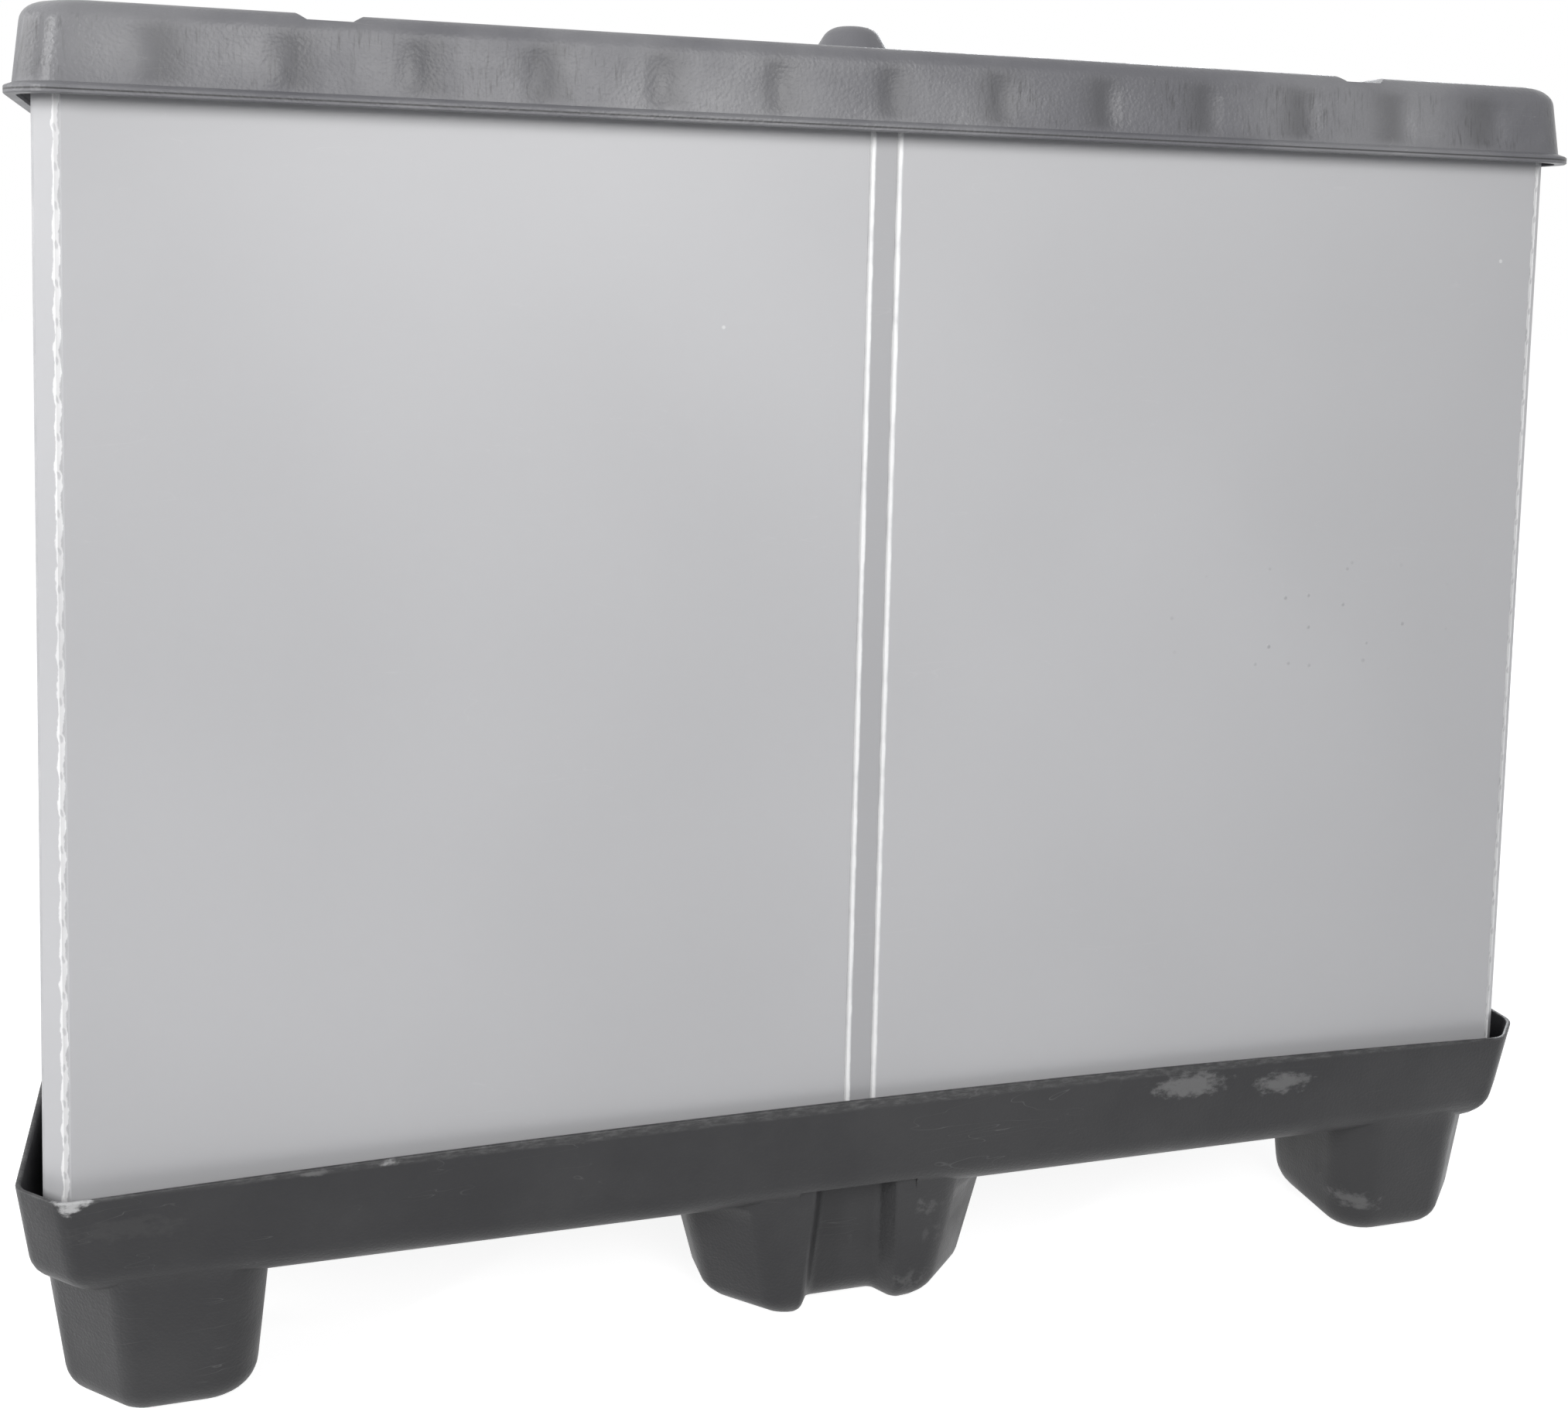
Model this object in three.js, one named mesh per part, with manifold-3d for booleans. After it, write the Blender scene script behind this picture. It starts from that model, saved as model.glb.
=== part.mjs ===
// A closed pallet box: a formed pallet tray on nine hollow legs, a folded board sleeve that stands
// in the tray, and a formed lid that caps the sleeve. Millimetres and degrees, X along the long
// side, Y from front to back, Z up, origin on the floor under the middle of the box.

import * as THREE from 'three';
import { mergeVertices } from 'three/addons/utils/BufferGeometryUtils.js';
import Module from 'manifold-3d';

const wasm = await Module();
wasm.setup();

// Pallet tray
const trayLength = 1200;
const trayDepth = 1000;
const sheet = 3.5;            // thickness of the formed sheet, tray and lid alike
const forkHeight = 99;        // floor to the underside of the tray
const trayHeight = 78;        // underside of the tray to its rim at the corners
const trayDraftAngle = 8;     // drafts are in degrees
const trayEdgeRadius = 28;    // round between the underside and the wall
const trayCornerRadius = 22;  // round on each edge of the corner chamfers
const rimCornerRadius = 8;    // the same along the rim
const rimRise = 6;            // the rim is this much higher at the middle of a side
const rimBow = 6;             // and bows in by this much there
const ledgeRise = 18;         // deck to the ledge that carries the sleeve
const ledgeMargin = 2.5;      // ledge beyond the inner face of the board

// Sleeve
const sleeveHeight = 840;
const boardThickness = 10;
const sleeveChamfer = 15.5;   // each corner strip takes this much off both sides
const creaseWidth = 6;
const creaseDepth = 2;
const foldSpacing = 21;       // between the two creases at the middle of a long side

// Lid
const skirtHeight = 61.5;     // bottom of the flange to the top of the lid
const skirtDraftAngle = 6;
const lidEdgeRadius = 15;
const lidCornerRadius = 20;
const flangeCornerRadius = 10;
const flangeWidth = 4;
const flangeHeight = 6;
const flangeStep = 1.5;       // slope from the flange back to the skirt

// Flutes round the skirt of the lid
const flutePitch = 83.3;
const fluteWidth = 25;
const fluteDepth = 2;
const fluteHeight = 40;
const fluteCornerGap = 90;    // nearest flute centre to the end of a side

// Strap grooves across the lid
const strapOffset = 395;      // groove centre from the middle of the lid
const strapGrooveTop = 45;
const strapGrooveFloor = 30;
const strapGrooveDepth = 5;

// Stacking knobs on the lid
const knobSetback = 104;      // knob centre from the rim of the tray
const knobHeight = 24;
const knobBaseRadius = 32;
const knobTopRadius = 17;
const knobRound = 9;          // round between the side and the flat top

// Legs, sizes at the underside of the tray
const cornerLegWidth = 150;
const middleLegWidth = 256;   // along X: middle legs of the long sides, and the centre leg
const sideLegWidth = 212;     // along Y: middle legs of the short sides, and the centre leg
const middleLegDepth = 135;   // from the outer face inwards: legs at the middle of a side
const legSetbackX = 17;       // outer faces of the legs from the rim, at the ends of the tray
const legSetbackY = 12;       // and at its front and back
const legDraftAngle = 8;      // outer faces
const cornerLegDraftAngle = 5.5;  // inner faces of the corner legs
const middleLegDraftAngle = 15;   // side faces of the middle legs
const legFootRadius = 26;     // round between a leg and its foot
const legFlare = 15;          // round between a leg and the underside of the tray
const cornerFlare = 2;        // this times as wide at the inner corner of a corner leg
const legChamfer = 50;        // outer corners of the corner legs and of the long sides' legs
const sideChamferShare = 0.236;   // and of the short sides' legs, as a share of their width
const legChamferRadius = 22;
const cornerLegRadius = 36;   // inner corners
const middleLegRadius = 45;

// Recess in the outer face of a leg at the middle of a side, wider towards the floor
const recessMouth = 66;
const recessFloor = 44;
const recessDepth = 22;
const recessDraftAngle = 4.5;
const recessRadius = 6;
const recessBend = 8;         // its floor bends outwards this far above the underside of the tray
const recessShoulder = 17;    // and slopes up to here
const recessTop = 30;         // and fades out in the wall of the tray here
const recessFade = 1.2;       // how deep it still is at the shoulder

// Clearances
const seatGap = 0.3;          // between pieces that rest on each other
const sleeveFit = 5.8;        // sleeve to the wall of the tray, at the ledge
const sleeveCornerFit = 0.8;  // the same at the corners
const lidFit = 2;             // sleeve to the lid, at the top edge of the sleeve

// Fineness of the round stretches
const arcSteps = 2;
const edgeSteps = 4;
const footSteps = 3;
const flareSteps = 3;
const sideSteps = 6;
const knobSegments = 16;
const fluteSegments = 8;

const colours = { tray: '#3b3b40', sleeve: '#c3c4c6', lid: '#434346' };

// Shrinking a chamfered outline by one millimetre takes this much off its chamfer.
const chamferLoss = 2 - Math.SQRT2;
const overrun = 10;           // how far a cutter reaches past what it cuts
const rootReach = 2;          // how far the legs reach into the wall above the ledge
const radians = THREE.MathUtils.degToRad;

// Section of a drafted wall with a rounded edge, from the flat face to the wide end of the wall:
// how far each point lies inside the wide end, and how far above the flat face.
function wallProfile(height, draft, radius, steps) {
  const lean = radians(draft);
  const run = radius * Math.cos(lean) + (height - radius * (1 - Math.sin(lean))) * Math.tan(lean);
  const profile = [];
  for (let step = 0; step <= steps; step++) {
    const angle = Math.PI / 2 - (Math.PI / 2 - lean) * step / steps;
    profile.push({ inset: run - radius * Math.cos(angle), rise: radius * (1 - Math.sin(angle)) });
  }
  profile.push({ inset: 0, rise: height });
  return profile;
}

function insetAt(profile, rise) {
  const next = profile.findIndex((point) => point.rise >= rise);
  if (next === 0) return profile[0].inset;
  const below = profile[next - 1];
  const above = profile[next];
  const share = (rise - below.rise) / (above.rise - below.rise);
  return THREE.MathUtils.lerp(below.inset, above.inset, share);
}

// Corners of a rectangle with chamfered corners, anticlockwise from the front left. Each long side
// is split so that it can bend.
function chamferedPlan({ halfX, halfY, chamfer }, radius, split = 1) {
  const x = halfX - chamfer;
  const y = halfY - chamfer;
  return [
    { x: -halfX, y: -y, radius }, { x: -x, y: -halfY, radius, split },
    { x, y: -halfY, radius }, { x: halfX, y: -y, radius, split },
    { x: halfX, y, radius }, { x, y: halfY, radius, split },
    { x: -x, y: halfY, radius }, { x: -halfX, y, radius, split },
  ];
}

function roundCorner(before, corner, after) {
  const point = new THREE.Vector2(corner.x, corner.y);
  const back = new THREE.Vector2(before.x, before.y).sub(point);
  const ahead = new THREE.Vector2(after.x, after.y).sub(point);
  const reach = Math.min(
    corner.radius * Math.tan((Math.PI - back.angleTo(ahead)) / 2),
    back.length() * 0.45,
    ahead.length() * 0.45,
  );
  const start = back.setLength(reach).add(point);
  const end = ahead.setLength(reach).add(point);
  return new THREE.QuadraticBezierCurve(start, point, end).getPoints(arcSteps);
}

function splitSide(start, end, split = 1) {
  const inner = Array.from({ length: split - 1 }, (_, index) => (index + 1) / split);
  return inner.map((share) => start.clone().lerp(end, share));
}

// A closed ring of points at one height, with every corner of the plan rounded.
function ringAt(corners, z) {
  const arcs = corners.map((corner, index) => {
    const after = corners[(index + 1) % corners.length];
    return roundCorner(corners.at(index - 1), corner, after);
  });
  const points = arcs.flatMap((arc, index) => {
    const next = arcs[(index + 1) % arcs.length];
    return [...arc, ...splitSide(arc.at(-1), next[0], corners[index].split)];
  });
  return points.map(({ x, y }) => new THREE.Vector3(x, y, z));
}

// Skins a stack of rings. An open stack is capped at both ends; a closed one joins its last ring
// to its first, as a tube does.
function loft(rings, closed = false) {
  const count = rings[0].length;
  const index = [];
  const bands = closed ? rings.length : rings.length - 1;
  for (let band = 0; band < bands; band++) {
    const low = band * count;
    const high = ((band + 1) % rings.length) * count;
    for (let i = 0; i < count; i++) {
      const j = (i + 1) % count;
      index.push(low + i, low + j, high + j, low + i, high + j, high + i);
    }
  }
  if (!closed) {
    const top = (rings.length - 1) * count;
    for (const [a, b, c] of capFaces(rings[0])) index.push(c, b, a);
    for (const [a, b, c] of capFaces(rings.at(-1))) index.push(top + a, top + b, top + c);
  }
  const geometry = new THREE.BufferGeometry().setFromPoints(rings.flat());
  geometry.setIndex(index);
  return geometry;
}

function capFaces(ring) {
  return THREE.ShapeUtils.triangulateShape(ring.map(({ x, y }) => new THREE.Vector2(x, y)), []);
}

function toSolid(geometry) {
  const bare = geometry.clone();
  bare.deleteAttribute('normal');
  bare.deleteAttribute('uv');
  const merged = mergeVertices(bare);
  return new wasm.Manifold(new wasm.Mesh({
    numProp: 3,
    vertProperties: new Float32Array(merged.attributes.position.array),
    triVerts: new Uint32Array(merged.index.array),
  }));
}

function toGeometry(solid) {
  const { vertProperties, triVerts } = solid.getMesh();
  const geometry = new THREE.BufferGeometry();
  geometry.setAttribute('position', new THREE.BufferAttribute(vertProperties, 3));
  geometry.setIndex(new THREE.BufferAttribute(triVerts, 1));
  geometry.computeVertexNormals();
  return geometry;
}

function joined(solids) {
  return solids.reduce((whole, solid) => whole.add(solid));
}

function cut(solid, cutters) {
  return cutters.reduce((rest, cutter) => rest.subtract(cutter), solid);
}

// Places that follow from the sizes above
const deck = forkHeight + sheet;
const ledge = deck + ledgeRise;
const trayWall = wallProfile(trayHeight, trayDraftAngle, trayEdgeRadius, edgeSteps);
const ledgeInset = insetAt(trayWall, sheet + ledgeRise) + sheet;
const sleeveInset = ledgeInset + sleeveFit;
const sleeveBottom = ledge + seatGap;
const sleeveTop = sleeveBottom + sleeveHeight;
const lidTop = sleeveTop + seatGap + strapGrooveDepth + sheet;
const lidBottom = lidTop - skirtHeight;
const cavityWall = wallProfile(skirtHeight - sheet, skirtDraftAngle, lidEdgeRadius - sheet, edgeSteps);
const skirtWall = wallProfile(skirtHeight, skirtDraftAngle, lidEdgeRadius, edgeSteps);
const cavityOffset = lidFit + insetAt(cavityWall, seatGap + strapGrooveDepth);
const skirtOffset = cavityOffset + sheet;

// The corner chamfer of the tray clears the corner strips of the sleeve.
const trayChamfer = sleeveChamfer + 2 * sleeveFit + ledgeInset * chamferLoss
  - sleeveCornerFit * Math.SQRT2;

function trayPlan(inset) {
  return {
    halfX: trayLength / 2 - inset,
    halfY: trayDepth / 2 - inset,
    chamfer: trayChamfer - Math.min(inset, ledgeInset) * chamferLoss,
  };
}

function sleevePlan(offset) {
  return {
    halfX: trayLength / 2 - sleeveInset + offset,
    halfY: trayDepth / 2 - sleeveInset + offset,
    chamfer: sleeveChamfer + offset * chamferLoss,
  };
}

function trayRing(inset, z, radius = trayCornerRadius) {
  return ringAt(chamferedPlan(trayPlan(inset), radius, sideSteps), z);
}

// The rim rises and bows in towards the middle of each side.
function rimRing(inset) {
  const { halfX, halfY, chamfer } = trayPlan(inset);
  const corner = chamfer + rimCornerRadius * Math.tan(Math.PI / 8);
  return trayRing(inset, forkHeight + trayHeight, rimCornerRadius).map((point) => {
    const onLongSide = Math.abs(point.y) > halfY - rimBow;
    const along = onLongSide ? point.x / (halfX - corner) : point.y / (halfY - corner);
    const swell = Math.max(0, 1 - along * along);
    const bow = rimBow * swell;
    return new THREE.Vector3(
      point.x - (onLongSide ? 0 : bow * Math.sign(point.x)),
      point.y - (onLongSide ? bow * Math.sign(point.y) : 0),
      point.z + rimRise * swell,
    );
  });
}

// The basin over the deck and the ledge. It also trims the tops of the legs.
function basinRings() {
  const ledgeEdge = sleeveInset + boardThickness + ledgeMargin;
  return [trayRing(ledgeInset, ledge), trayRing(ledgeEdge, ledge), trayRing(ledgeEdge + sheet, deck)];
}

function trayShell() {
  return toSolid(loft([
    ...trayWall.slice(0, -1).map(({ inset, rise }) => trayRing(inset, forkHeight + rise)),
    rimRing(0),
    rimRing(sheet),
    ...basinRings(),
  ]));
}

function basin() {
  const rings = basinRings().reverse();
  return toSolid(loft([...rings, trayRing(ledgeInset, ledge + overrun)]));
}

// How much further than the outer faces a face with another draft moves in.
function leanShare(draft) {
  return Math.tan(radians(draft)) / Math.tan(radians(legDraftAngle));
}

// Plans of the legs at the underside of the tray, each with its outer face towards the front.
// `inset` moves the outer faces in and the other faces by their own lean, and `flare` moves the
// inner faces out again where they meet the underside.
function cornerLegPlan(inset, flare) {
  const inner = cornerLegWidth - inset * leanShare(cornerLegDraftAngle);
  const corner = inner + flare * cornerFlare;
  const chamfer = legChamfer - inset * chamferLoss;
  const radius = cornerLegRadius;
  return [
    { x: inset, y: inset + chamfer, radius: legChamferRadius },
    { x: inset + chamfer, y: inset, radius: legChamferRadius },
    { x: inner, y: inset, radius }, { x: corner, y: corner, radius },
    { x: inset, y: inner, radius },
  ];
}

function middleLegPlan(width, fullChamfer, inset, flare) {
  const side = width / 2 - inset * leanShare(middleLegDraftAngle) + flare;
  const back = middleLegDepth - inset + flare;
  const chamfer = fullChamfer - inset * chamferLoss;
  const front = side - flare - chamfer;
  return [
    { x: -side, y: inset + chamfer, radius: legChamferRadius },
    { x: -front, y: inset, radius: legChamferRadius },
    { x: front, y: inset, radius: legChamferRadius },
    { x: side, y: inset + chamfer, radius: legChamferRadius },
    { x: side, y: back, radius: middleLegRadius }, { x: -side, y: back, radius: middleLegRadius },
  ];
}

function centreLegPlan(inset, flare) {
  const x = middleLegWidth / 2 - inset + flare;
  const y = sideLegWidth / 2 - inset + flare;
  const radius = cornerLegRadius;
  return [{ x: -x, y: -y, radius }, { x, y: -y, radius }, { x, y, radius }, { x: -x, y, radius }];
}

const legRoot = sheet + ledgeRise + rootReach;   // the legs reach up into the edge of the tray

function flareAt(below) {
  const depth = legFlare - below;
  return legFlare - Math.sqrt(legFlare * legFlare - depth * depth);
}

// Depths below the underside of the tray of the rings round a leg's flare.
function flareDepths() {
  return Array.from({ length: flareSteps }, (_, step) => {
    const angle = step / flareSteps * Math.PI / 2;
    return legFlare * Math.cos(angle);
  });
}

function legSolid(plan) {
  const profile = wallProfile(forkHeight, legDraftAngle, legFootRadius, footSteps);
  const foot = profile.slice(0, -1).map(({ inset, rise }) => ringAt(plan(inset, 0), rise));
  const slope = Math.tan(radians(legDraftAngle));
  const flared = flareDepths().map((below) =>
    ringAt(plan(below * slope, flareAt(below)), forkHeight - below));
  const root = [0, legRoot].map((above) =>
    ringAt(plan(-above * slope, legFlare), forkHeight + above));
  return toSolid(loft([...foot, ...flared, ...root]));
}

function legCup(plan) {
  const profile = wallProfile(forkHeight - sheet, legDraftAngle, legFootRadius - sheet, footSteps);
  const rings = profile.map(({ inset, rise }) => ringAt(plan(inset + sheet, 0), sheet + rise));
  const mouth = ringAt(plan(sheet, 0), ledge + overrun);
  return toSolid(loft([...rings, mouth]));
}

// The pocket that the recess takes out of a leg and the wall above it, grown all over by `growth`.
function recessSolid(setback, growth) {
  const lean = Math.tan(radians(legDraftAngle));
  const widen = Math.tan(radians(recessDraftAngle));
  const bottom = -forkHeight - overrun;
  const sections = [
    { rise: bottom, depth: recessDepth - bottom * lean },
    { rise: recessBend + growth, depth: recessDepth - recessBend * lean },
    { rise: recessShoulder + growth,
      depth: insetAt(trayWall, recessShoulder) + recessFade - setback },
    { rise: recessTop + growth, depth: insetAt(trayWall, recessTop) - setback },
  ];
  return toSolid(loft(sections.map(({ rise, depth }) => {
    const mouth = recessMouth / 2 + growth - rise * widen;
    const floor = mouth - (recessMouth - recessFloor) / 2;
    const slant = (mouth - floor) / recessDepth;
    const front = -setback - overrun;
    const atFront = floor + (depth - front) * slant;
    return ringAt([
      { x: -atFront, y: front, radius: recessRadius }, { x: atFront, y: front, radius: recessRadius },
      { x: floor, y: depth + growth, radius: recessRadius },
      { x: -floor, y: depth + growth, radius: recessRadius },
    ], forkHeight + rise);
  })));
}

// The nine legs: what each is like, where its outer face stands and which way that face looks.
// A leg at the middle of a side has a recess, as deep from the rim as its own setback.
function legPlaces() {
  const x = trayLength / 2 - legSetbackX;
  const y = trayDepth / 2 - legSetbackY;
  const sideChamfer = sideLegWidth * sideChamferShare;
  const longSide = (inset, flare) => middleLegPlan(middleLegWidth, legChamfer, inset, flare);
  const shortSide = (inset, flare) => middleLegPlan(sideLegWidth, sideChamfer, inset, flare);
  return [
    { plan: cornerLegPlan, x: -x, y: -y, turn: 0 },
    { plan: cornerLegPlan, x, y: -y, turn: 90 },
    { plan: cornerLegPlan, x, y, turn: 180 },
    { plan: cornerLegPlan, x: -x, y, turn: 270 },
    { plan: longSide, x: 0, y: -y, turn: 0, setback: legSetbackY },
    { plan: longSide, x: 0, y, turn: 180, setback: legSetbackY },
    { plan: shortSide, x, y: 0, turn: 90, setback: legSetbackX },
    { plan: shortSide, x: -x, y: 0, turn: 270, setback: legSetbackX },
    { plan: centreLegPlan, x: 0, y: 0, turn: 0 },
  ];
}

// A turned solid of the stacking knob, grown all over by `growth`, from `foot` upwards.
function knobSolid(growth, foot) {
  const side = new THREE.Vector2(knobTopRadius - knobBaseRadius, knobHeight).normalize();
  const top = knobHeight + growth;
  const base = knobBaseRadius + growth;
  const shoulder = new THREE.Vector2(knobTopRadius + growth, top);
  const start = shoulder.clone().sub(side.clone().multiplyScalar(knobRound));
  const end = new THREE.Vector2(shoulder.x - knobRound / 2, top);
  const round = new THREE.QuadraticBezierCurve(start, shoulder, end).getPoints(arcSteps);
  const profile = [
    new THREE.Vector2(0, foot), new THREE.Vector2(base, foot), new THREE.Vector2(base, 0),
    ...round, new THREE.Vector2(0, top),
  ];
  const geometry = new THREE.LatheGeometry(profile, knobSegments);
  return toSolid(geometry.rotateX(Math.PI / 2));
}

const knobPlaces = [1, -1].map((side) => side * (trayDepth / 2 - knobSetback));

function palletBase() {
  const placed = (solid, { x, y, turn }) => solid.rotate([0, 0, turn]).translate([x, y, 0]);
  const legs = legPlaces();
  const recessed = legs.filter(({ setback }) => setback);
  const recesses = (growth) =>
    recessed.map((leg) => placed(recessSolid(leg.setback, growth), leg));
  const outside = joined([trayShell(), ...legs.map((leg) => placed(legSolid(leg.plan), leg))]);
  const cups = joined(legs.map((leg) => placed(legCup(leg.plan), leg)));
  return cut(outside, [basin(), cut(cups, recesses(sheet)), ...recesses(0)]);
}

// Outline of the sleeve, with a point on either side of each crease and one in its groove.
function sleeveRing(offset, grooveDepth, z) {
  const { halfX, halfY, chamfer } = sleevePlan(offset);
  const corners = chamferedPlan({ halfX, halfY, chamfer }, 0)
    .map(({ x, y }) => new THREE.Vector2(x, y));
  const folds = [-1, 1].map((side) => side * foldSpacing / 2);
  const front = folds.map((x) => new THREE.Vector2(x, -halfY));
  const back = folds.map((x) => new THREE.Vector2(-x, halfY));
  const creases = [...corners.slice(0, 2), ...front, ...corners.slice(2, 6), ...back,
    ...corners.slice(6)];
  return creases.flatMap((crease, index) => {
    const toLast = creases.at(index - 1).clone().sub(crease).setLength(creaseWidth / 2);
    const toNext = creases[(index + 1) % creases.length].clone().sub(crease);
    toNext.setLength(creaseWidth / 2);
    const inward = new THREE.Vector2(toLast.y - toNext.y, toNext.x - toLast.x);
    inward.setLength(grooveDepth);
    const points = [crease.clone().add(toLast), crease.clone().add(inward),
      crease.clone().add(toNext)];
    return points.map(({ x, y }) => new THREE.Vector3(x, y, z));
  });
}

function sleeve() {
  return toSolid(loft([
    sleeveRing(0, creaseDepth, sleeveBottom),
    sleeveRing(0, creaseDepth, sleeveTop),
    sleeveRing(-boardThickness, 0, sleeveTop),
    sleeveRing(-boardThickness, 0, sleeveBottom),
  ], true));
}

function lidRing(offset, z, radius = lidCornerRadius) {
  return ringAt(chamferedPlan(sleevePlan(offset), radius), z);
}

function skirt() {
  const rings = skirtWall.map(({ inset, rise }) => lidRing(skirtOffset - inset, lidTop - rise));
  return toSolid(loft(rings.reverse()));
}

function flange() {
  const edge = skirtOffset + flangeWidth;
  const top = lidBottom + flangeHeight;
  return toSolid(loft([
    lidRing(edge, lidBottom, flangeCornerRadius),
    lidRing(edge, top, flangeCornerRadius),
    lidRing(skirtOffset - flangeWidth, top + 2 * flangeStep),
  ]));
}

function lidCavity() {
  const ceiling = lidTop - sheet;
  const rings = cavityWall
    .map(({ inset, rise }) => lidRing(cavityOffset - inset, ceiling - rise)).reverse();
  return toSolid(loft([lidRing(cavityOffset, lidBottom - overrun), ...rings]));
}

// A groove across the lid, from front to back, with sloping sides. `growth` widens it by the
// sheet, for its ridge on the underside.
function strapGroove(x, growth, top) {
  const rim = strapGrooveTop / 2 + growth;
  const floor = strapGrooveFloor / 2 + growth;
  const slope = (rim - floor) / strapGrooveDepth * overrun;
  const shape = new THREE.Shape([
    new THREE.Vector2(-floor, -strapGrooveDepth), new THREE.Vector2(floor, -strapGrooveDepth),
    new THREE.Vector2(rim + slope, overrun), new THREE.Vector2(-rim - slope, overrun),
  ]);
  const length = trayDepth + 2 * overrun;
  const geometry = new THREE.ExtrudeGeometry(shape, { depth: length, bevelEnabled: false });
  return toSolid(geometry.rotateX(Math.PI / 2).translate(x, length / 2, top));
}

// Centres of the flutes along one side, in even steps from its middle.
function fluteCentres(half) {
  const steps = Math.floor((half - fluteCornerGap) / flutePitch);
  return Array.from({ length: 2 * steps + 1 }, (_, index) => (index - steps) * flutePitch);
}

// A flute is the shallow mark that a long ball leaves in the leaning wall of the skirt.
function fluteCutter() {
  const bulge = 3 * fluteDepth;
  const shrink = Math.sqrt(1 - (1 - fluteDepth / bulge) ** 2);
  const ball = new THREE.SphereGeometry(1, fluteSegments, fluteSegments);
  ball.rotateX(Math.PI / 2);
  ball.scale(fluteWidth / 2 / shrink, bulge, fluteHeight / 2 / shrink);
  ball.translate(0, fluteDepth - bulge, 0);
  return ball.rotateX(-radians(skirtDraftAngle));
}

function flutes() {
  const rise = (lidEdgeRadius + skirtHeight - flangeHeight - flangeStep) / 2;
  const z = lidTop - rise;
  const { halfX, halfY } = sleevePlan(skirtOffset - insetAt(skirtWall, rise));
  const cutter = toSolid(fluteCutter());
  const sides = [
    { half: halfX, out: halfY, turn: 0 }, { half: halfY, out: halfX, turn: 90 },
    { half: halfX, out: halfY, turn: 180 }, { half: halfY, out: halfX, turn: 270 },
  ];
  return sides.flatMap(({ half, out, turn }) => fluteCentres(half).map((along) =>
    cutter.translate([along, -out, z]).rotate([0, 0, turn])));
}

function lid() {
  const straps = [-strapOffset, strapOffset];
  const knobs = knobPlaces.map((y) => knobSolid(0, -sheet / 2).translate([0, y, lidTop]));
  const hollows = knobPlaces.map((y) => knobSolid(-sheet, -sheet * 2).translate([0, y, lidTop]));
  const grooves = straps.map((x) => strapGroove(x, 0, lidTop));
  const ridges = straps.map((x) => strapGroove(x, sheet, lidTop - sheet));
  const fluted = cut(skirt(), [...grooves, ...flutes()]);
  const outer = joined([fluted, flange(), ...knobs]);
  const inner = joined([cut(lidCavity(), ridges), ...hollows]);
  return outer.subtract(inner);
}

function namedMesh(name, solid, colour, roughness) {
  const material = new THREE.MeshStandardMaterial({ color: colour, roughness, metalness: 0 });
  const mesh = new THREE.Mesh(toGeometry(solid), material);
  mesh.name = name;
  return mesh;
}

const palletBox = new THREE.Group();
palletBox.add(
  namedMesh('pallet_base', palletBase(), colours.tray, 0.6),
  namedMesh('sleeve', sleeve(), colours.sleeve, 0.45),
  namedMesh('lid', lid(), colours.lid, 0.6),
);

export default palletBox;
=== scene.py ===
# %% [markdown]
# # A closed pallet box
# The object is a returnable box in three pieces: a formed tray on nine hollow legs, a folding
# sleeve of bubble board that stands in the tray, and a formed lid. Their exact solids come packed
# from the construction program. Each of them gets a finer double here, because the look of formed
# sheet lies in its soft rounds, and then its finish.

from math import cos, pi, radians, sin, tan

import bmesh
import bpy
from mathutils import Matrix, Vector


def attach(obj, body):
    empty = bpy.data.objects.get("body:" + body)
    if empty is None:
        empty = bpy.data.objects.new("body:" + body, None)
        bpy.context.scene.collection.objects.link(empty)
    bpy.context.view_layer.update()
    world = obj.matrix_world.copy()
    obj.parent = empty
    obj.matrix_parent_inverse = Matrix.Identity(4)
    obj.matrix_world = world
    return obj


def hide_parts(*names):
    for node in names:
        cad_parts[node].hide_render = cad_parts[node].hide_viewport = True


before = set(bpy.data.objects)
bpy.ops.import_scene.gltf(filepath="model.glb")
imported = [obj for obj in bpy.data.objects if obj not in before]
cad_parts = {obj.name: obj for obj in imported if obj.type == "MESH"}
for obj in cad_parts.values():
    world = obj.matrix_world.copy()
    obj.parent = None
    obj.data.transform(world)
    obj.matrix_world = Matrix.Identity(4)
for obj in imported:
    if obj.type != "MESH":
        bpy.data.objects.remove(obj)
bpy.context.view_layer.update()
MM = 0.001
print("packed nodes:", sorted(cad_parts))

# %% [markdown]
# ## Working by hand, in code
# In edit mode a hand picks corners, edges or faces and then presses a key. These helpers do that:
# pick takes what lies in a given place and lets go of the rest, extrude pulls it along. Each formed
# piece starts as a flat rectangle, its outline seen from above.

# %% Picking and starting
def select_only(piece):
    bpy.ops.object.select_all(action="DESELECT")
    bpy.context.view_layer.objects.active = piece
    piece.select_set(True)


def middle(part):
    """Where a corner, edge or face is."""
    if isinstance(part, bmesh.types.BMVert):
        return part.co
    if isinstance(part, bmesh.types.BMEdge):
        return (part.verts[0].co + part.verts[1].co) / 2
    return part.calc_center_median()


def pick(piece, kind, test):
    """Selects the verts, edges or faces whose middle passes the test, and nothing else."""
    bpy.ops.mesh.select_mode(type={"verts": "VERT", "edges": "EDGE", "faces": "FACE"}[kind])
    bpy.ops.mesh.select_all(action="DESELECT")
    mesh = bmesh.from_edit_mesh(piece.data)
    chosen = [part for part in getattr(mesh, kind) if test(middle(part))]
    for part in chosen:
        part.select_set(True)
    mesh.select_flush_mode()
    bmesh.update_edit_mesh(piece.data)
    return len(chosen)


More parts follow.
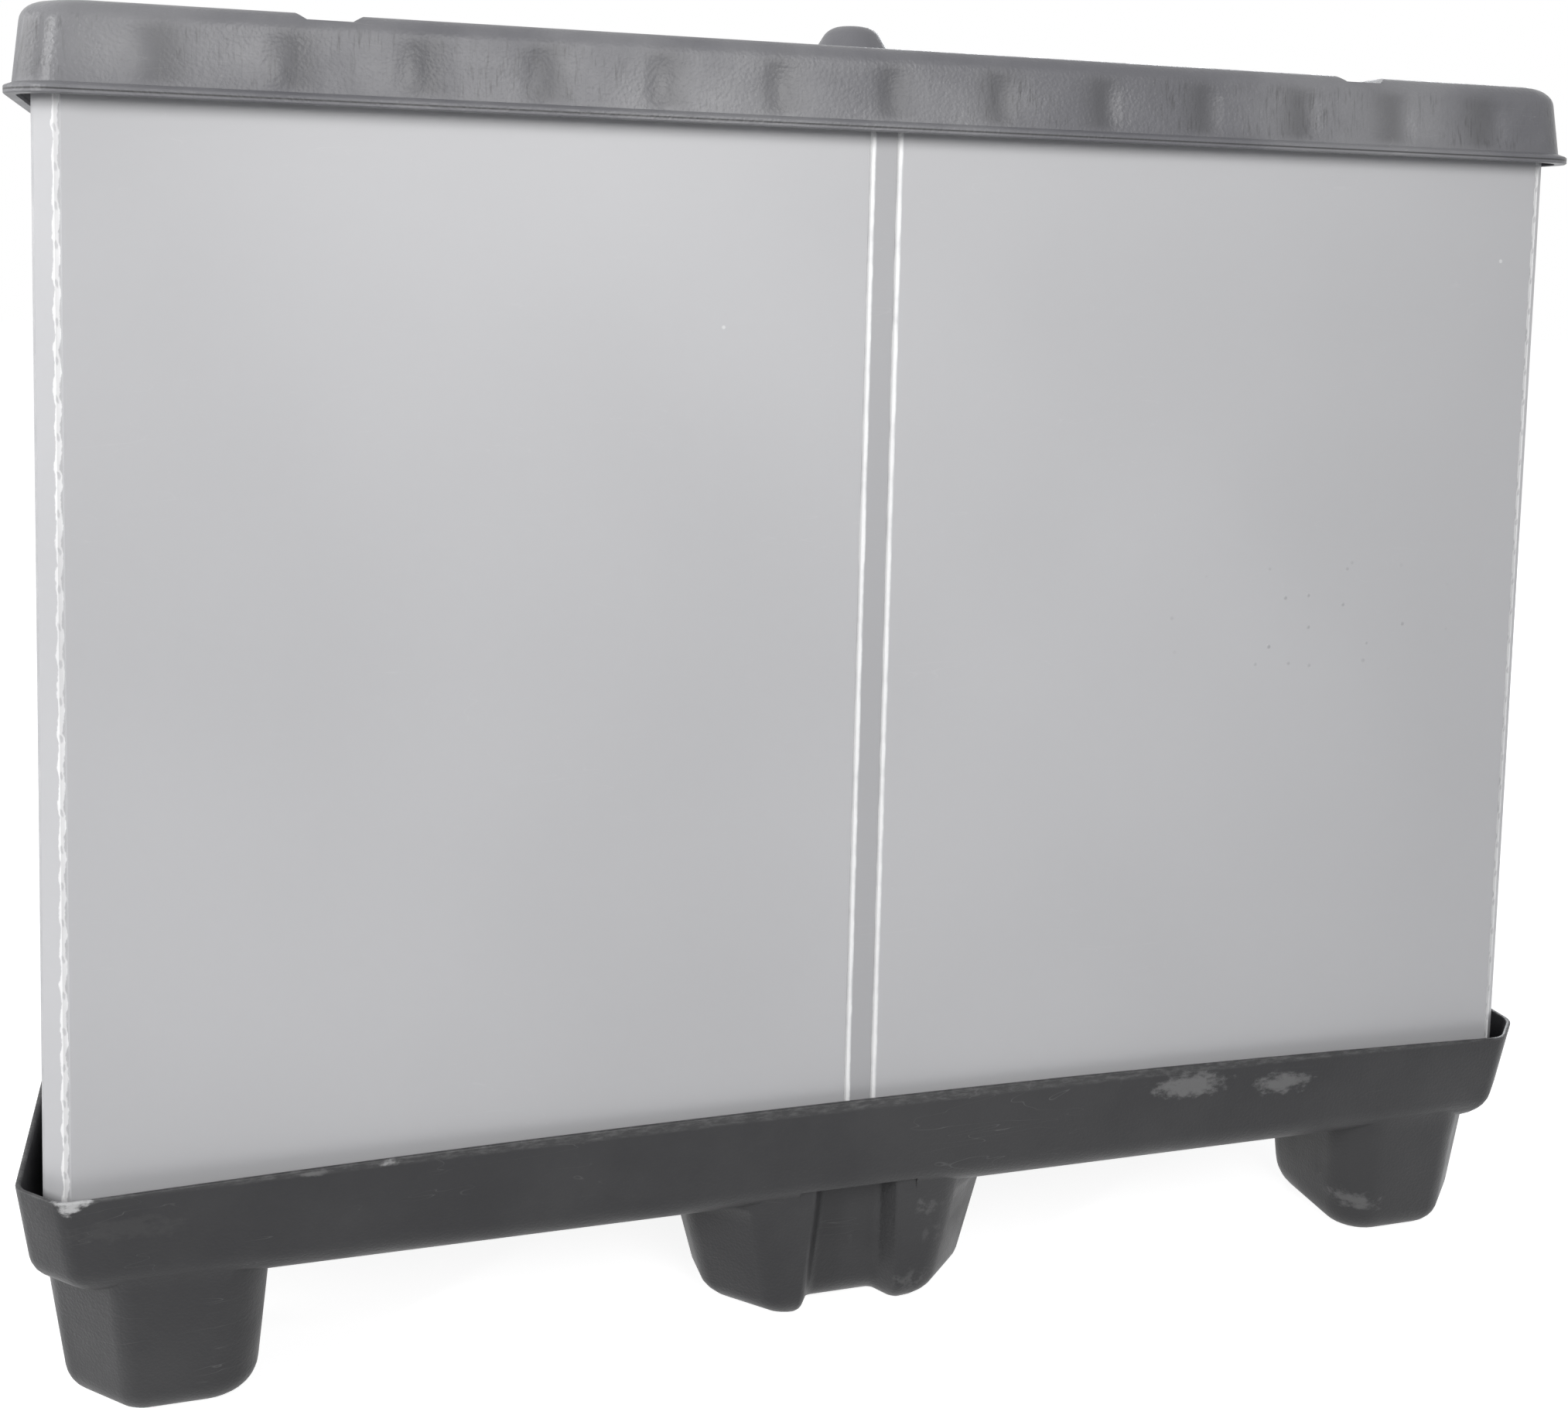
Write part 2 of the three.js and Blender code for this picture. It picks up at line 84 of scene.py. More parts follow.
def extrude(*move):
    bpy.ops.mesh.extrude_region_move(TRANSFORM_OT_translate={"value": move})


def selected_box(piece):
    """The x and y limits of the selected corners, and their height."""
    spots = [v.co for v in bmesh.from_edit_mesh(piece.data).verts if v.select]
    xs, ys = [p.x for p in spots], [p.y for p in spots]
    return (min(xs), max(xs), min(ys), max(ys)), spots[0].z


def start_outline(name, box, z):
    """Adds a plane that fills box (x0, x1, y0, y1) at height z, and leaves it in edit mode."""
    bpy.ops.object.select_all(action="DESELECT")
    spot = ((box[0] + box[1]) / 2, (box[2] + box[3]) / 2, z)
    bpy.ops.mesh.primitive_plane_add(size=1, location=spot)
    piece = bpy.context.object
    piece.name = piece.data.name = name
    bpy.ops.object.transform_apply(location=True, rotation=True, scale=True)
    bpy.ops.object.mode_set(mode="EDIT")
    size = (box[1] - box[0], box[3] - box[2], 1)
    bpy.ops.transform.resize(value=size, center_override=spot)
    return piece


print("helpers ready:", pick.__name__, start_outline.__name__)

# %% [markdown]
# ## Corners and rings
# A corner of an outline is cut or rounded with a vertex bevel: one segment cuts it straight, more
# make an arc. The outline then grows upwards ring by ring, each ring an extrusion that is moved and
# scaled to fit a rectangle. A leaning wall with a rounded edge is just a list of such rings, which
# keeps every corner clean where an edge bevel on a leaning solid would pinch.

# %% Corner cuts, rings and the profile of a leaning wall
def cut_corners(piece, test, size):
    pick(piece, "verts", test)
    bpy.ops.mesh.bevel(offset=size, segments=1, affect="VERTICES", clamp_overlap=False)


def round_corners(piece, test, radius, turn=90, segments=6):
    """Rounds outline corners at which the outline turns by so many degrees."""
    pick(piece, "verts", test)
    reach = radius * tan(radians(turn) / 2)
    bpy.ops.mesh.bevel(offset=reach, segments=segments, affect="VERTICES", clamp_overlap=False)


def split_at(spot, normal):
    bpy.ops.mesh.select_all(action="SELECT")
    bpy.ops.mesh.bisect(plane_co=spot, plane_no=normal)


def merge_inside():
    """Makes a flat, split outline one face again and keeps the corners along its border."""
    bpy.ops.mesh.select_mode(type="EDGE")
    bpy.ops.mesh.select_all(action="DESELECT")
    bpy.ops.mesh.select_non_manifold(
        use_wire=False, use_multi_face=False, use_non_contiguous=False, use_verts=False)
    bpy.ops.mesh.select_all(action="INVERT")
    bpy.ops.mesh.dissolve_edges(use_verts=False)
    bpy.ops.mesh.select_all(action="SELECT")


def next_ring(piece, box, z):
    """Extrudes the selected face to height z and fits it to box (x0, x1, y0, y1)."""
    now, height = selected_box(piece)
    middle_now = ((now[0] + now[1]) / 2, (now[2] + now[3]) / 2)
    middle_next = ((box[0] + box[1]) / 2, (box[2] + box[3]) / 2)
    extrude(middle_next[0] - middle_now[0], middle_next[1] - middle_now[1], z - height)
    size = ((box[1] - box[0]) / (now[1] - now[0]), (box[3] - box[2]) / (now[3] - now[2]), 1)
    bpy.ops.transform.resize(value=size, center_override=(*middle_next, z))


def wall_profile(height, draft, radius, steps):
    """How far a leaning wall with a rounded edge lies inside its wide end, at each rise."""
    lean = radians(draft)
    run = radius * cos(lean) + (height - radius * (1 - sin(lean))) * tan(lean)
    turns = [pi / 2 - (pi / 2 - lean) * step / steps for step in range(steps + 1)]
    profile = [(radius * (1 - sin(turn)), run - radius * cos(turn)) for turn in turns]
    return profile + [(height, 0.0)]


def close_up(piece):
    """Merges doubles, turns the faces outwards and leaves edit mode."""
    bpy.ops.mesh.select_all(action="SELECT")
    bpy.ops.mesh.remove_doubles(threshold=0.00001)
    bpy.ops.mesh.normals_make_consistent(inside=False)
    bpy.ops.object.mode_set(mode="OBJECT")
    return piece


def combine(piece, other, operation):
    """A boolean modifier, applied at once. The other piece is used up."""
    select_only(piece)
    modifier = piece.modifiers.new(operation.title(), "BOOLEAN")
    modifier.operation = operation
    modifier.solver = "EXACT"
    modifier.object = other
    bpy.ops.object.modifier_apply(modifier=modifier.name)
    bpy.data.objects.remove(other)
    return piece


def mend_seams(piece):
    """Merges what the booleans left a hair apart and closes the last small holes."""
    select_only(piece)
    bpy.ops.object.mode_set(mode="EDIT")
    bpy.ops.mesh.select_all(action="SELECT")
    bpy.ops.mesh.remove_doubles(threshold=0.02 * MM)
    bpy.ops.mesh.dissolve_degenerate(threshold=0.01 * MM)
    bpy.ops.mesh.select_all(action="SELECT")
    bpy.ops.mesh.fill_holes(sides=8)
    bpy.ops.mesh.normals_make_consistent(inside=False)
    bpy.ops.mesh.select_mode(type="EDGE")
    bpy.ops.mesh.select_all(action="DESELECT")
    bpy.ops.mesh.select_non_manifold()
    bpy.ops.object.mode_set(mode="OBJECT")
    return sum(edge.select for edge in piece.data.edges)


def join_all(pieces, name):
    bpy.ops.object.select_all(action="DESELECT")
    for piece in pieces:
        piece.select_set(True)
    bpy.context.view_layer.objects.active = pieces[0]
    bpy.ops.object.join()
    pieces[0].name = pieces[0].data.name = name
    return pieces[0]


print("a 78 mm wall, rise and inset:",
      [(round(rise), round(inset)) for rise, inset in wall_profile(78, 8, 28, 4)])

# %% [markdown]
# ## The tray
# The tray is one formed sheet: a flat underside, a 28 mm round, and a wall that leans out by eight
# degrees so that empty trays nest. Its corners are cut at 45 degrees. Used trays have a rim that
# stands up a little at the middle of each side and is drawn in there. The outline is split along
# its sides first, so that the rim has corners to move.

# %% Sizes of the tray
SHEET = 3.5 * MM
DRAFT = 8
TRAY_HALF_X, TRAY_HALF_Y = 600 * MM, 500 * MM
FORK_HEIGHT, TRAY_HEIGHT = 99 * MM, 78 * MM
DECK = FORK_HEIGHT + SHEET
LEDGE = DECK + 18 * MM
RIM = FORK_HEIGHT + TRAY_HEIGHT
RIM_RISE, RIM_BOW = 6 * MM, 6 * MM
TRAY_ROUND, TRAY_CUT, ROOM_CUT = 28 * MM, 28.2 * MM, 26.5 * MM
SPLIT_X, SPLIT_Y = 80 * MM, 66 * MM
CUT_REACH = 38 * MM
HAIR = 0.1 * MM
TRAY_WALL = wall_profile(TRAY_HEIGHT, DRAFT, TRAY_ROUND, 8)


def tray_box(inset):
    return (inset - TRAY_HALF_X, TRAY_HALF_X - inset, inset - TRAY_HALF_Y, TRAY_HALF_Y - inset)


def everywhere(spot):
    return True


def start_tray_outline(name, inset, z, corner_cut):
    """The cut-cornered outline of the tray, with its sides split in even steps."""
    piece = start_outline(name, tray_box(inset), z)
    cut_corners(piece, everywhere, corner_cut)
    round_corners(piece, everywhere, 15 * MM, turn=45, segments=3)
    for step in range(-6, 7):
        split_at((step * SPLIT_X, 0, 0), (1, 0, 0))
        split_at((0, step * SPLIT_Y, 0), (0, 1, 0))
    merge_inside()
    return piece


def swell_rim(piece, inset):
    """Raises the selected ring and draws it in, most at the middle of each side."""
    half_x, half_y = TRAY_HALF_X - inset, TRAY_HALF_Y - inset
    mesh = bmesh.from_edit_mesh(piece.data)
    ring = [(round(v.co.x, 5), round(v.co.y, 5)) for v in mesh.verts if v.select]
    height = next(v.co.z for v in mesh.verts if v.select)
    for x, y in sorted(set(ring)):
        on_long_side = half_y - abs(y) < HAIR
        spread, half = (x, half_x) if on_long_side else (y, half_y)
        along = abs(spread) / (half - CUT_REACH)
        swell = 1 - along * along
        if swell <= 0 or not (on_long_side or half_x - abs(x) < HAIR):
            continue
        bow = RIM_BOW * swell
        move = (0, -bow if y > 0 else bow, RIM_RISE * swell)
        if not on_long_side:
            move = (-bow if x > 0 else bow, 0, RIM_RISE * swell)
        spot = Vector((x, y, height))
        pick(piece, "verts", lambda at: (at - spot).length < HAIR)
        bpy.ops.transform.translate(value=move)


print("deck", round(DECK / MM, 1), "ledge", round(LEDGE / MM, 1), "rim", round(RIM / MM, 1))

# %% [markdown]
# ## The tray's two faces
# The outside and the inside are made in the same way, as two solids: the second is the room inside
# the tray, and is cut out of the first later. It has the deck as its floor, then the ledge that the
# sleeve stands on, and then the wall, one sheet inside the outer one.

# %% Outside of the tray and the room inside it
def tray_outside():
    rise, inset = TRAY_WALL[0]
    piece = start_tray_outline("tray_outside", inset, FORK_HEIGHT + rise, TRAY_CUT)
    for rise, inset in TRAY_WALL[1:]:
        next_ring(piece, tray_box(inset), FORK_HEIGHT + rise)
    swell_rim(piece, 0)
    pick(piece, "verts", lambda at: at.z > RIM - HAIR)
    for drop in (0, -40 * MM):
        extrude(0, 0, drop)
        bpy.ops.transform.resize(value=(0.985, 0.985, 1), center_override=(0, 0, 0))
    bpy.ops.transform.resize(value=(1, 1, 0), center_override=(0, 0, RIM - 40 * MM))
    return close_up(piece)


def tray_room():
    piece = start_tray_outline("tray_room", 33.7 * MM, DECK, ROOM_CUT)
    for inset, z in ((30.2 * MM, LEDGE), (11.6 * MM, LEDGE), (SHEET, RIM)):
        next_ring(piece, tray_box(inset), z)
    swell_rim(piece, SHEET)
    pick(piece, "verts", lambda at: at.z > RIM - HAIR)
    extrude(0, 0, 12 * MM)
    bpy.ops.transform.resize(value=(1, 1, 0), center_override=(0, 0, RIM + 20 * MM))
    return close_up(piece)


tray = tray_outside()
room = tray_room()
print("tray faces:", len(tray.data.polygons), "room faces:", len(room.data.polygons))

# %% [markdown]
# ## The legs
# Each leg is a hollow cup pressed down out of the same sheet, with a round foot and a soft flare
# where it leaves the underside. One corner leg, one middle leg, one side leg and the centre leg are
# modelled once, each at the origin with its outer face on the line y = 0, and are then copied to
# their nine places. The room inside each leg is made by the same function, one sheet smaller.

# %% Sizes of the legs
OUT = tan(radians(DRAFT))
CORNER_LEAN = tan(radians(5.5)) / OUT
MIDDLE_LEAN = tan(radians(15)) / OUT
FLARE = 15 * MM
CORNER_WIDTH, WIDE_HALF, NARROW_HALF = 150 * MM, 128 * MM, 106 * MM
LEG_DEPTH = 135 * MM
LEG_CUT, CUT_ROUND = 50 * MM, 24 * MM
FOOT_ROUND, FOOT_INSET = 26 * MM, 36 * MM
OVERLAP = 20 * MM
LEG_TOP = FORK_HEIGHT + OVERLAP
SETBACK_X, SETBACK_Y, SETBACK_MIDDLE = 17 * MM, 13.5 * MM, 15 * MM


def corner_leg_box(inset):
    far = CORNER_WIDTH - inset * CORNER_LEAN
    return (inset, far, inset, far)


def middle_leg_box(half_width):
    def box(inset):
        half = half_width - inset * MIDDLE_LEAN
        return (-half, half, inset, LEG_DEPTH - inset)
    return box


def centre_leg_box(inset):
    return (inset - WIDE_HALF, WIDE_HALF - inset, inset - NARROW_HALF, NARROW_HALF - inset)


def outline_corner_leg(piece, box):
    near = box(0)[1] * 0.5
    share = (box(FOOT_INSET)[1] - box(FOOT_INSET)[0]) / CORNER_WIDTH
    cut_corners(piece, lambda at: at.x < near and at.y < near, LEG_CUT * share)
    first = min(v.co.x for v in bmesh.from_edit_mesh(piece.data).verts)
    is_cut = lambda at: at.x + at.y < 2 * first + 55 * MM * share
    round_corners(piece, is_cut, CUT_ROUND * share, turn=45, segments=5)
    is_right = lambda at: max(at.x, at.y) > box(FOOT_INSET)[1] - 0.5 * MM
    round_corners(piece, is_right, 36 * MM * share, segments=8)


def outline_middle_leg(piece, box):
    _, half, front, back = box(FOOT_INSET)
    share = (half / box(0)[1] + (back - front) / LEG_DEPTH) / 2
    cut_corners(piece, lambda at: at.y < front + 1 * MM, LEG_CUT * share)
    round_corners(piece, lambda at: at.y < back - 1 * MM, CUT_ROUND * share, turn=45, segments=5)
    round_corners(piece, lambda at: at.y > back - 1 * MM, 45 * MM * share, segments=8)


def outline_centre_leg(piece, box):
    round_corners(piece, everywhere, 26 * MM, segments=8)


print("for each millimetre that the outer face leans in, the other faces lean in:",
      round(CORNER_LEAN, 2), round(MIDDLE_LEAN, 2))

# %% [markdown]
# ## From foot to flare
# A leg starts as the outline of its foot and grows upwards. The flare is added at the end, by
# pushing the inner corners of the last rings outwards along a quarter circle. On a corner leg only
# the inner corner flares, and twice as far, which is how the sheet draws in between two faces.

# %% One leg, solid or hollow
def leg_body(name, box, outline, shrink=0.0):
    """A leg, or with shrink the room inside it, from its foot up to the ledge of the tray."""
    profile = wall_profile(FORK_HEIGHT - shrink, DRAFT, FOOT_ROUND - shrink, 8)
    piece = start_outline(name, box(FOOT_INSET), shrink)
    outline(piece, box)
    bpy.ops.mesh.select_all(action="SELECT")
    first = box(profile[0][1] + shrink)
    now, height = selected_box(piece)
    size = ((first[1] - first[0]) / (now[1] - now[0]), (first[3] - first[2]) / (now[3] - now[2]), 1)
    centre = ((now[0] + now[1]) / 2, (now[2] + now[3]) / 2, height)
    bpy.ops.transform.resize(value=size, center_override=centre)
    for rise, inset in profile[1:-1]:
        next_ring(piece, box(inset + shrink), rise + shrink)
    if shrink:
        next_ring(piece, box(shrink), LEDGE + 10 * MM)
        return close_up(piece)
    for below in flare_depths():
        next_ring(piece, box(below * OUT), FORK_HEIGHT - below)
    next_ring(piece, box(-OVERLAP * OUT), LEG_TOP)
    return piece


def flare_depths():
    return [FLARE * cos(pi / 2 * step / 6) for step in range(7)]


def flare_at(below):
    gap = FLARE - below
    return FLARE - (FLARE * FLARE - gap * gap) ** 0.5


def push(piece, z, test, move):
    pick(piece, "verts", lambda at: abs(at.z - z) < 0.01 * MM and test(at))
    bpy.ops.transform.translate(value=move)


def flare_out(piece, moves):
    """Pushes parts of each flare ring outwards; moves pairs a test with a direction."""
    heights = [(FORK_HEIGHT - below, flare_at(below)) for below in flare_depths()[1:]]
    heights.append((LEG_TOP, FLARE))
    for z, flare in heights:
        for test, (x, y) in moves:
            push(piece, z, test, (x * flare, y * flare, 0))
    return close_up(piece)


def corner_leg():
    piece = leg_body("corner_leg", corner_leg_box, outline_corner_leg)
    deep = CORNER_WIDTH / 2
    return flare_out(piece, [(lambda at: at.x > deep and at.y > deep, (2, 2))])


def middle_leg(half):
    piece = leg_body("middle_leg", middle_leg_box(half), outline_middle_leg)
    reach = LEG_DEPTH * 0.3
    return flare_out(piece, [
        (lambda at: at.x > half * 0.6 and at.y > reach, (1, 0)),
        (lambda at: at.x < -half * 0.6 and at.y > reach, (-1, 0)),
        (lambda at: at.y > LEG_DEPTH * 0.6, (0, 1)),
    ])


def centre_leg():
    piece = leg_body("centre_leg", centre_leg_box, outline_centre_leg)
    return flare_out(piece, [
        (lambda at: at.x > 60 * MM, (1, 0)), (lambda at: at.x < -60 * MM, (-1, 0)),
        (lambda at: at.y > 50 * MM, (0, 1)), (lambda at: at.y < -50 * MM, (0, -1)),
    ])


FORMS = {
    "corner": (corner_leg_box, outline_corner_leg, corner_leg),
    "middle": (middle_leg_box(WIDE_HALF), outline_middle_leg, lambda: middle_leg(WIDE_HALF)),
    "side": (middle_leg_box(NARROW_HALF), outline_middle_leg, lambda: middle_leg(NARROW_HALF)),
    "centre": (centre_leg_box, outline_centre_leg, centre_leg),
}
solid_legs = {kind: make() for kind, (_, _, make) in FORMS.items()}
hollow_legs = {kind: leg_body(kind + "_cup", box, outline, SHEET)
               for kind, (box, outline, _) in FORMS.items()}
print("faces of a leg:", {kind: len(leg.data.polygons) for kind, leg in solid_legs.items()})

# %% [markdown]
# ## Recesses
# The legs at the middle of each side have an upright recess in their outer face. It widens towards
# the floor, follows the round of the foot and ends a little way up in the wall of the tray. It is
# made as a cutter, in rings like a leg, and a second one a sheet larger keeps the inner skin
# closed behind it.

# %% The cutter for a recess
RECESS_TOP = FORK_HEIGHT + 14 * MM
RECESS_DEPTH, RECESS_HALF, RECESS_ROUND = 20 * MM, 33 * MM, 7 * MM
RECESS_DRAFT = 3.5
MOUTH = 14 * MM


def recess_cutter(name, grow=0.0):
    """The recess grown by so much, at the origin, with the leg's outer face on the line y = 0."""
    half, depth = RECESS_HALF + grow, RECESS_DEPTH + grow
    box = (-half - MOUTH, half + MOUTH, -30 * MM, -0.4 * MM)
    piece = start_outline(name, box, RECESS_TOP + grow)
    for side in (-1, 1):
        split_at((side * half, 0, 0), (1, 0, 0))
    pick(piece, "edges", lambda at: abs(at.x) < 1 * MM and at.y > -1 * MM)
    extrude(0, depth, 0)
    bpy.ops.transform.resize(value=(1 - 10 * MM / half, 1, 1), center_override=(0, 0, 0))
    merge_inside()
    at_back = lambda at: at.y > depth - 2 * MM
    at_mouth = lambda at: abs(abs(at.x) - half) < 1 * MM and at.y > -1 * MM
    for test in (at_back, at_mouth):
        round_corners(piece, test, RECESS_ROUND, turn=65, segments=5)
    bpy.ops.mesh.select_all(action="SELECT")
    profile = wall_profile(FORK_HEIGHT, DRAFT, FOOT_ROUND, 8)
    rings = [*reversed(profile), (-15 * MM, profile[0][1])]
    box, _ = selected_box(piece)
    for rise, inset in rings:
        wide = 1 + (RECESS_TOP - rise) * tan(radians(RECESS_DRAFT)) / half
        next_ring(piece, (box[0] * wide, box[1] * wide, box[2] + inset, box[3] + inset), rise)
    return close_up(piece)


recess = recess_cutter("recess")
recess_cover = recess_cutter("recess_cover", SHEET)
print("faces of a recess:", len(recess.data.polygons))

# %% [markdown]
# ## Nine places
# Copies get a mesh of their own, are turned and moved, and then have that place written into their
# mesh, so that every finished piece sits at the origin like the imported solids.

# %% Copying the legs and cutting the tray
def place_copy(piece, turn, spot):
    select_only(piece)
    bpy.ops.object.duplicate()
    twin = bpy.context.object
    twin.rotation_euler = (0, 0, radians(turn))
    twin.location = (*spot, 0)
    bpy.ops.object.transform_apply(location=True, rotation=True, scale=True)
    return twin


AT_X, AT_Y = TRAY_HALF_X - SETBACK_X, TRAY_HALF_Y - SETBACK_Y
AT_MIDDLE = TRAY_HALF_Y - SETBACK_MIDDLE
PLACES = [
    ("corner", 0, (-AT_X, -AT_Y)), ("corner", 90, (AT_X, -AT_Y)),
    ("corner", 180, (AT_X, AT_Y)), ("corner", 270, (-AT_X, AT_Y)),
    ("middle", 0, (0, -AT_MIDDLE)), ("middle", 180, (0, AT_MIDDLE)),
    ("side", 90, (AT_X, 0)), ("side", 270, (-AT_X, 0)), ("centre", 0, (0, 0)),
]
RECESSED = [place for place in PLACES if place[0] in ("middle", "side")]

legs = join_all([place_copy(solid_legs[kind], turn, spot) for kind, turn, spot in PLACES], "legs")
cups = join_all([place_copy(hollow_legs[kind], turn, spot) for kind, turn, spot in PLACES], "cups")
recesses = join_all([place_copy(recess, turn, spot) for kind, turn, spot in RECESSED], "recesses")
covers = join_all([place_copy(recess_cover, turn, spot) for kind, turn, spot in RECESSED], "covers")
for pattern in [*solid_legs.values(), *hollow_legs.values(), recess, recess_cover]:
    bpy.data.objects.remove(pattern)

combine(tray, legs, "UNION")
combine(room, cups, "UNION")
combine(room, covers, "DIFFERENCE")
combine(tray, room, "DIFFERENCE")
combine(tray, recesses, "DIFFERENCE")
print("tray with its legs:", len(tray.data.polygons), "faces,", mend_seams(tray), "open edges")

# %% [markdown]
# ## The edge of the rim, and smooth shading
# A formed sheet has no knife edges. The two long edges of the rim are picked by how sharply their
# faces meet, and get a small bevel. Then faces that meet at a shallow angle are shaded as one.

# %% Bevelling sharp edges in one region
def bevel_sharp(piece, angle, width, segments, test):
    """Bevels the edges in a region whose faces meet at more than so many degrees."""
    select_only(piece)
    bpy.ops.object.mode_set(mode="EDIT")
    bpy.ops.mesh.select_mode(type="EDGE")
    bpy.ops.mesh.select_all(action="DESELECT")
    mesh = bmesh.from_edit_mesh(piece.data)
    sharp = [edge for edge in mesh.edges
             if test(middle(edge)) and edge.calc_face_angle(0) > radians(angle)]
    for edge in sharp:
        edge.select_set(True)
    bmesh.update_edit_mesh(piece.data)
    bpy.ops.mesh.bevel(offset=width, segments=segments, profile=0.5, affect="EDGES")
    bpy.ops.object.mode_set(mode="OBJECT")
    return len(sharp)


def shade(piece, angle=32):
    select_only(piece)
    bpy.ops.object.shade_smooth_by_angle(angle=radians(angle))


count = bevel_sharp(tray, 45, 1.2 * MM, 3, lambda at: at.z > RIM - 1 * MM)
shade(tray)
tray.name = tray.data.name = "formed_tray"
print("rim edges bevelled:", count)

# %% [markdown]
# ## The sleeve
# The sleeve is one board of two plastic skins with bubbles between, folded round to a tube. It is
# folded twice at each corner, which leaves a narrow strip at 45 degrees, and has two more folds
# close together at the middle of each long side, so that it packs flat. A fold is a pressed line:
# three corners of the outline with the middle one pushed in.

# %% The folded board
SLEEVE_HALF_X, SLEEVE_HALF_Y = 582.3 * MM, 482.3 * MM
SLEEVE_CUT = 17 * MM
SLEEVE_BOTTOM, SLEEVE_TOP = 120.8 * MM, 960.8 * MM
BOARD = 10 * MM
FOLD_X = 10.5 * MM
PRESS, CORNER_PRESS = 1.6 * MM, 1.4


def press_folds_at_corners(piece):
    """Splits each outline corner in three and pushes the middle one inwards."""
    half_turn = radians(22.5)
    spots = [(SLEEVE_HALF_X - SLEEVE_CUT, SLEEVE_HALF_Y, pi / 2 - half_turn),
             (SLEEVE_HALF_X, SLEEVE_HALF_Y - SLEEVE_CUT, half_turn)]
    pick(piece, "verts", everywhere)
    bpy.ops.mesh.bevel(offset=2.6 * MM, segments=2, affect="VERTICES", clamp_overlap=False)
    for x, y, turn in spots:
        for side_x in (-1, 1):
            for side_y in (-1, 1):
                spot = Vector((side_x * x, side_y * y, SLEEVE_BOTTOM))
                pick(piece, "verts", lambda at: (at - spot).length < 1.6 * MM)
                depth = PRESS * CORNER_PRESS
                move = (-side_x * cos(turn) * depth, -side_y * sin(turn) * depth, 0)
                bpy.ops.transform.translate(value=move)


def press_folds_on_sides(piece):
    for side in (-1, 1):
        for step in (-2.6, -1, 0, 1, 2.6):
            split_at((side * FOLD_X + step * MM, 0, 0), (1, 0, 0))
    merge_inside()
    for side in (-1, 1):
        for step, depth in ((-1, 0.8), (0, 1), (1, 0.8)):
            for face in (-1, 1):
                spot = Vector((side * FOLD_X + step * MM, face * SLEEVE_HALF_Y, SLEEVE_BOTTOM))
                pick(piece, "verts", lambda at: (at - spot).length < 0.3 * MM)
                bpy.ops.transform.translate(value=(0, -face * PRESS * depth, 0))


def folded_sleeve():
    box = (-SLEEVE_HALF_X, SLEEVE_HALF_X, -SLEEVE_HALF_Y, SLEEVE_HALF_Y)
    piece = start_outline("folded_sleeve", box, SLEEVE_BOTTOM)
    cut_corners(piece, everywhere, SLEEVE_CUT)
    press_folds_at_corners(piece)
    press_folds_on_sides(piece)
    height = SLEEVE_TOP - SLEEVE_BOTTOM
    bpy.ops.mesh.select_all(action="SELECT")
    extrude(0, 0, height)
    close_up(piece)
    inner = tuple(edge - BOARD if edge > 0 else edge + BOARD for edge in box)
    hollow = start_outline("sleeve_room", inner, SLEEVE_BOTTOM - 20 * MM)
    cut_corners(hollow, everywhere, SLEEVE_CUT - BOARD * (2 - 2 ** 0.5))
    next_ring(hollow, inner, SLEEVE_TOP + 20 * MM)
    return combine(piece, close_up(hollow), "DIFFERENCE")


sleeve = folded_sleeve()
shade(sleeve, 20)
print("sleeve faces:", len(sleeve.data.polygons))

# %% [markdown]
# ## The lid
# The lid is a shallow cap of the same kind of sheet. Its skirt has shallow upright flutes that
# stiffen it, its bottom edge turns out into a flange, two grooves across the top keep straps in
# place, and two knobs locate the next box. The outline is split round each flute before it grows,
# so that every ring has corners there to draw in, most at half height.

# %% Sizes of the lid and its fluted skirt
LID_TOP, SKIRT = 969.6 * MM, 61.5 * MM
LID_HALF_X, LID_HALF_Y = 594.7 * MM, 494.7 * MM
LID_DRAFT, LID_ROUND = 6, 15 * MM
FLUTE_PITCH, FLUTE_HALF_WIDTH, FLUTE_DEPTH = 83.3 * MM, 13 * MM, 2 * MM
FLUTES_X = [step * FLUTE_PITCH for step in range(-6, 7)]
FLUTES_Y = [step * FLUTE_PITCH for step in range(-4, 5)]
FLUTE_FORM = ((0, 1.0), (0.35, 0.8), (0.7, 0.3))


def lid_box(inset):
    return (inset - LID_HALF_X, LID_HALF_X - inset, inset - LID_HALF_Y, LID_HALF_Y - inset)


def is_in_flute(along, flutes, offset):
    """Whether a corner lies at this share of the half width from the middle of a flute."""
    share = min(abs(along - flute) for flute in flutes) / FLUTE_HALF_WIDTH
    return abs(share - offset) < 0.05


def draw_in_flutes(piece, z, share):
    """Pushes the flute corners of the ring at height z inwards."""
    pick(piece, "verts", lambda at: abs(at.z - z) < 0.01 * MM)
    box, _ = selected_box(piece)
    half_x, half_y = box[1], box[3]
    scale_x, scale_y = LID_START_X / half_x, LID_START_Y / half_y
    for offset, depth in FLUTE_FORM:
        reach = FLUTE_DEPTH * share * depth
        for side in (-1, 1):
            push(piece, z, lambda at: abs(at.y - side * half_y) < 0.05 * MM
                 and is_in_flute(at.x * scale_x, FLUTES_X, offset), (0, -side * reach, 0))
            push(piece, z, lambda at: abs(at.x - side * half_x) < 0.05 * MM
                 and is_in_flute(at.y * scale_y, FLUTES_Y, offset), (-side * reach, 0, 0))


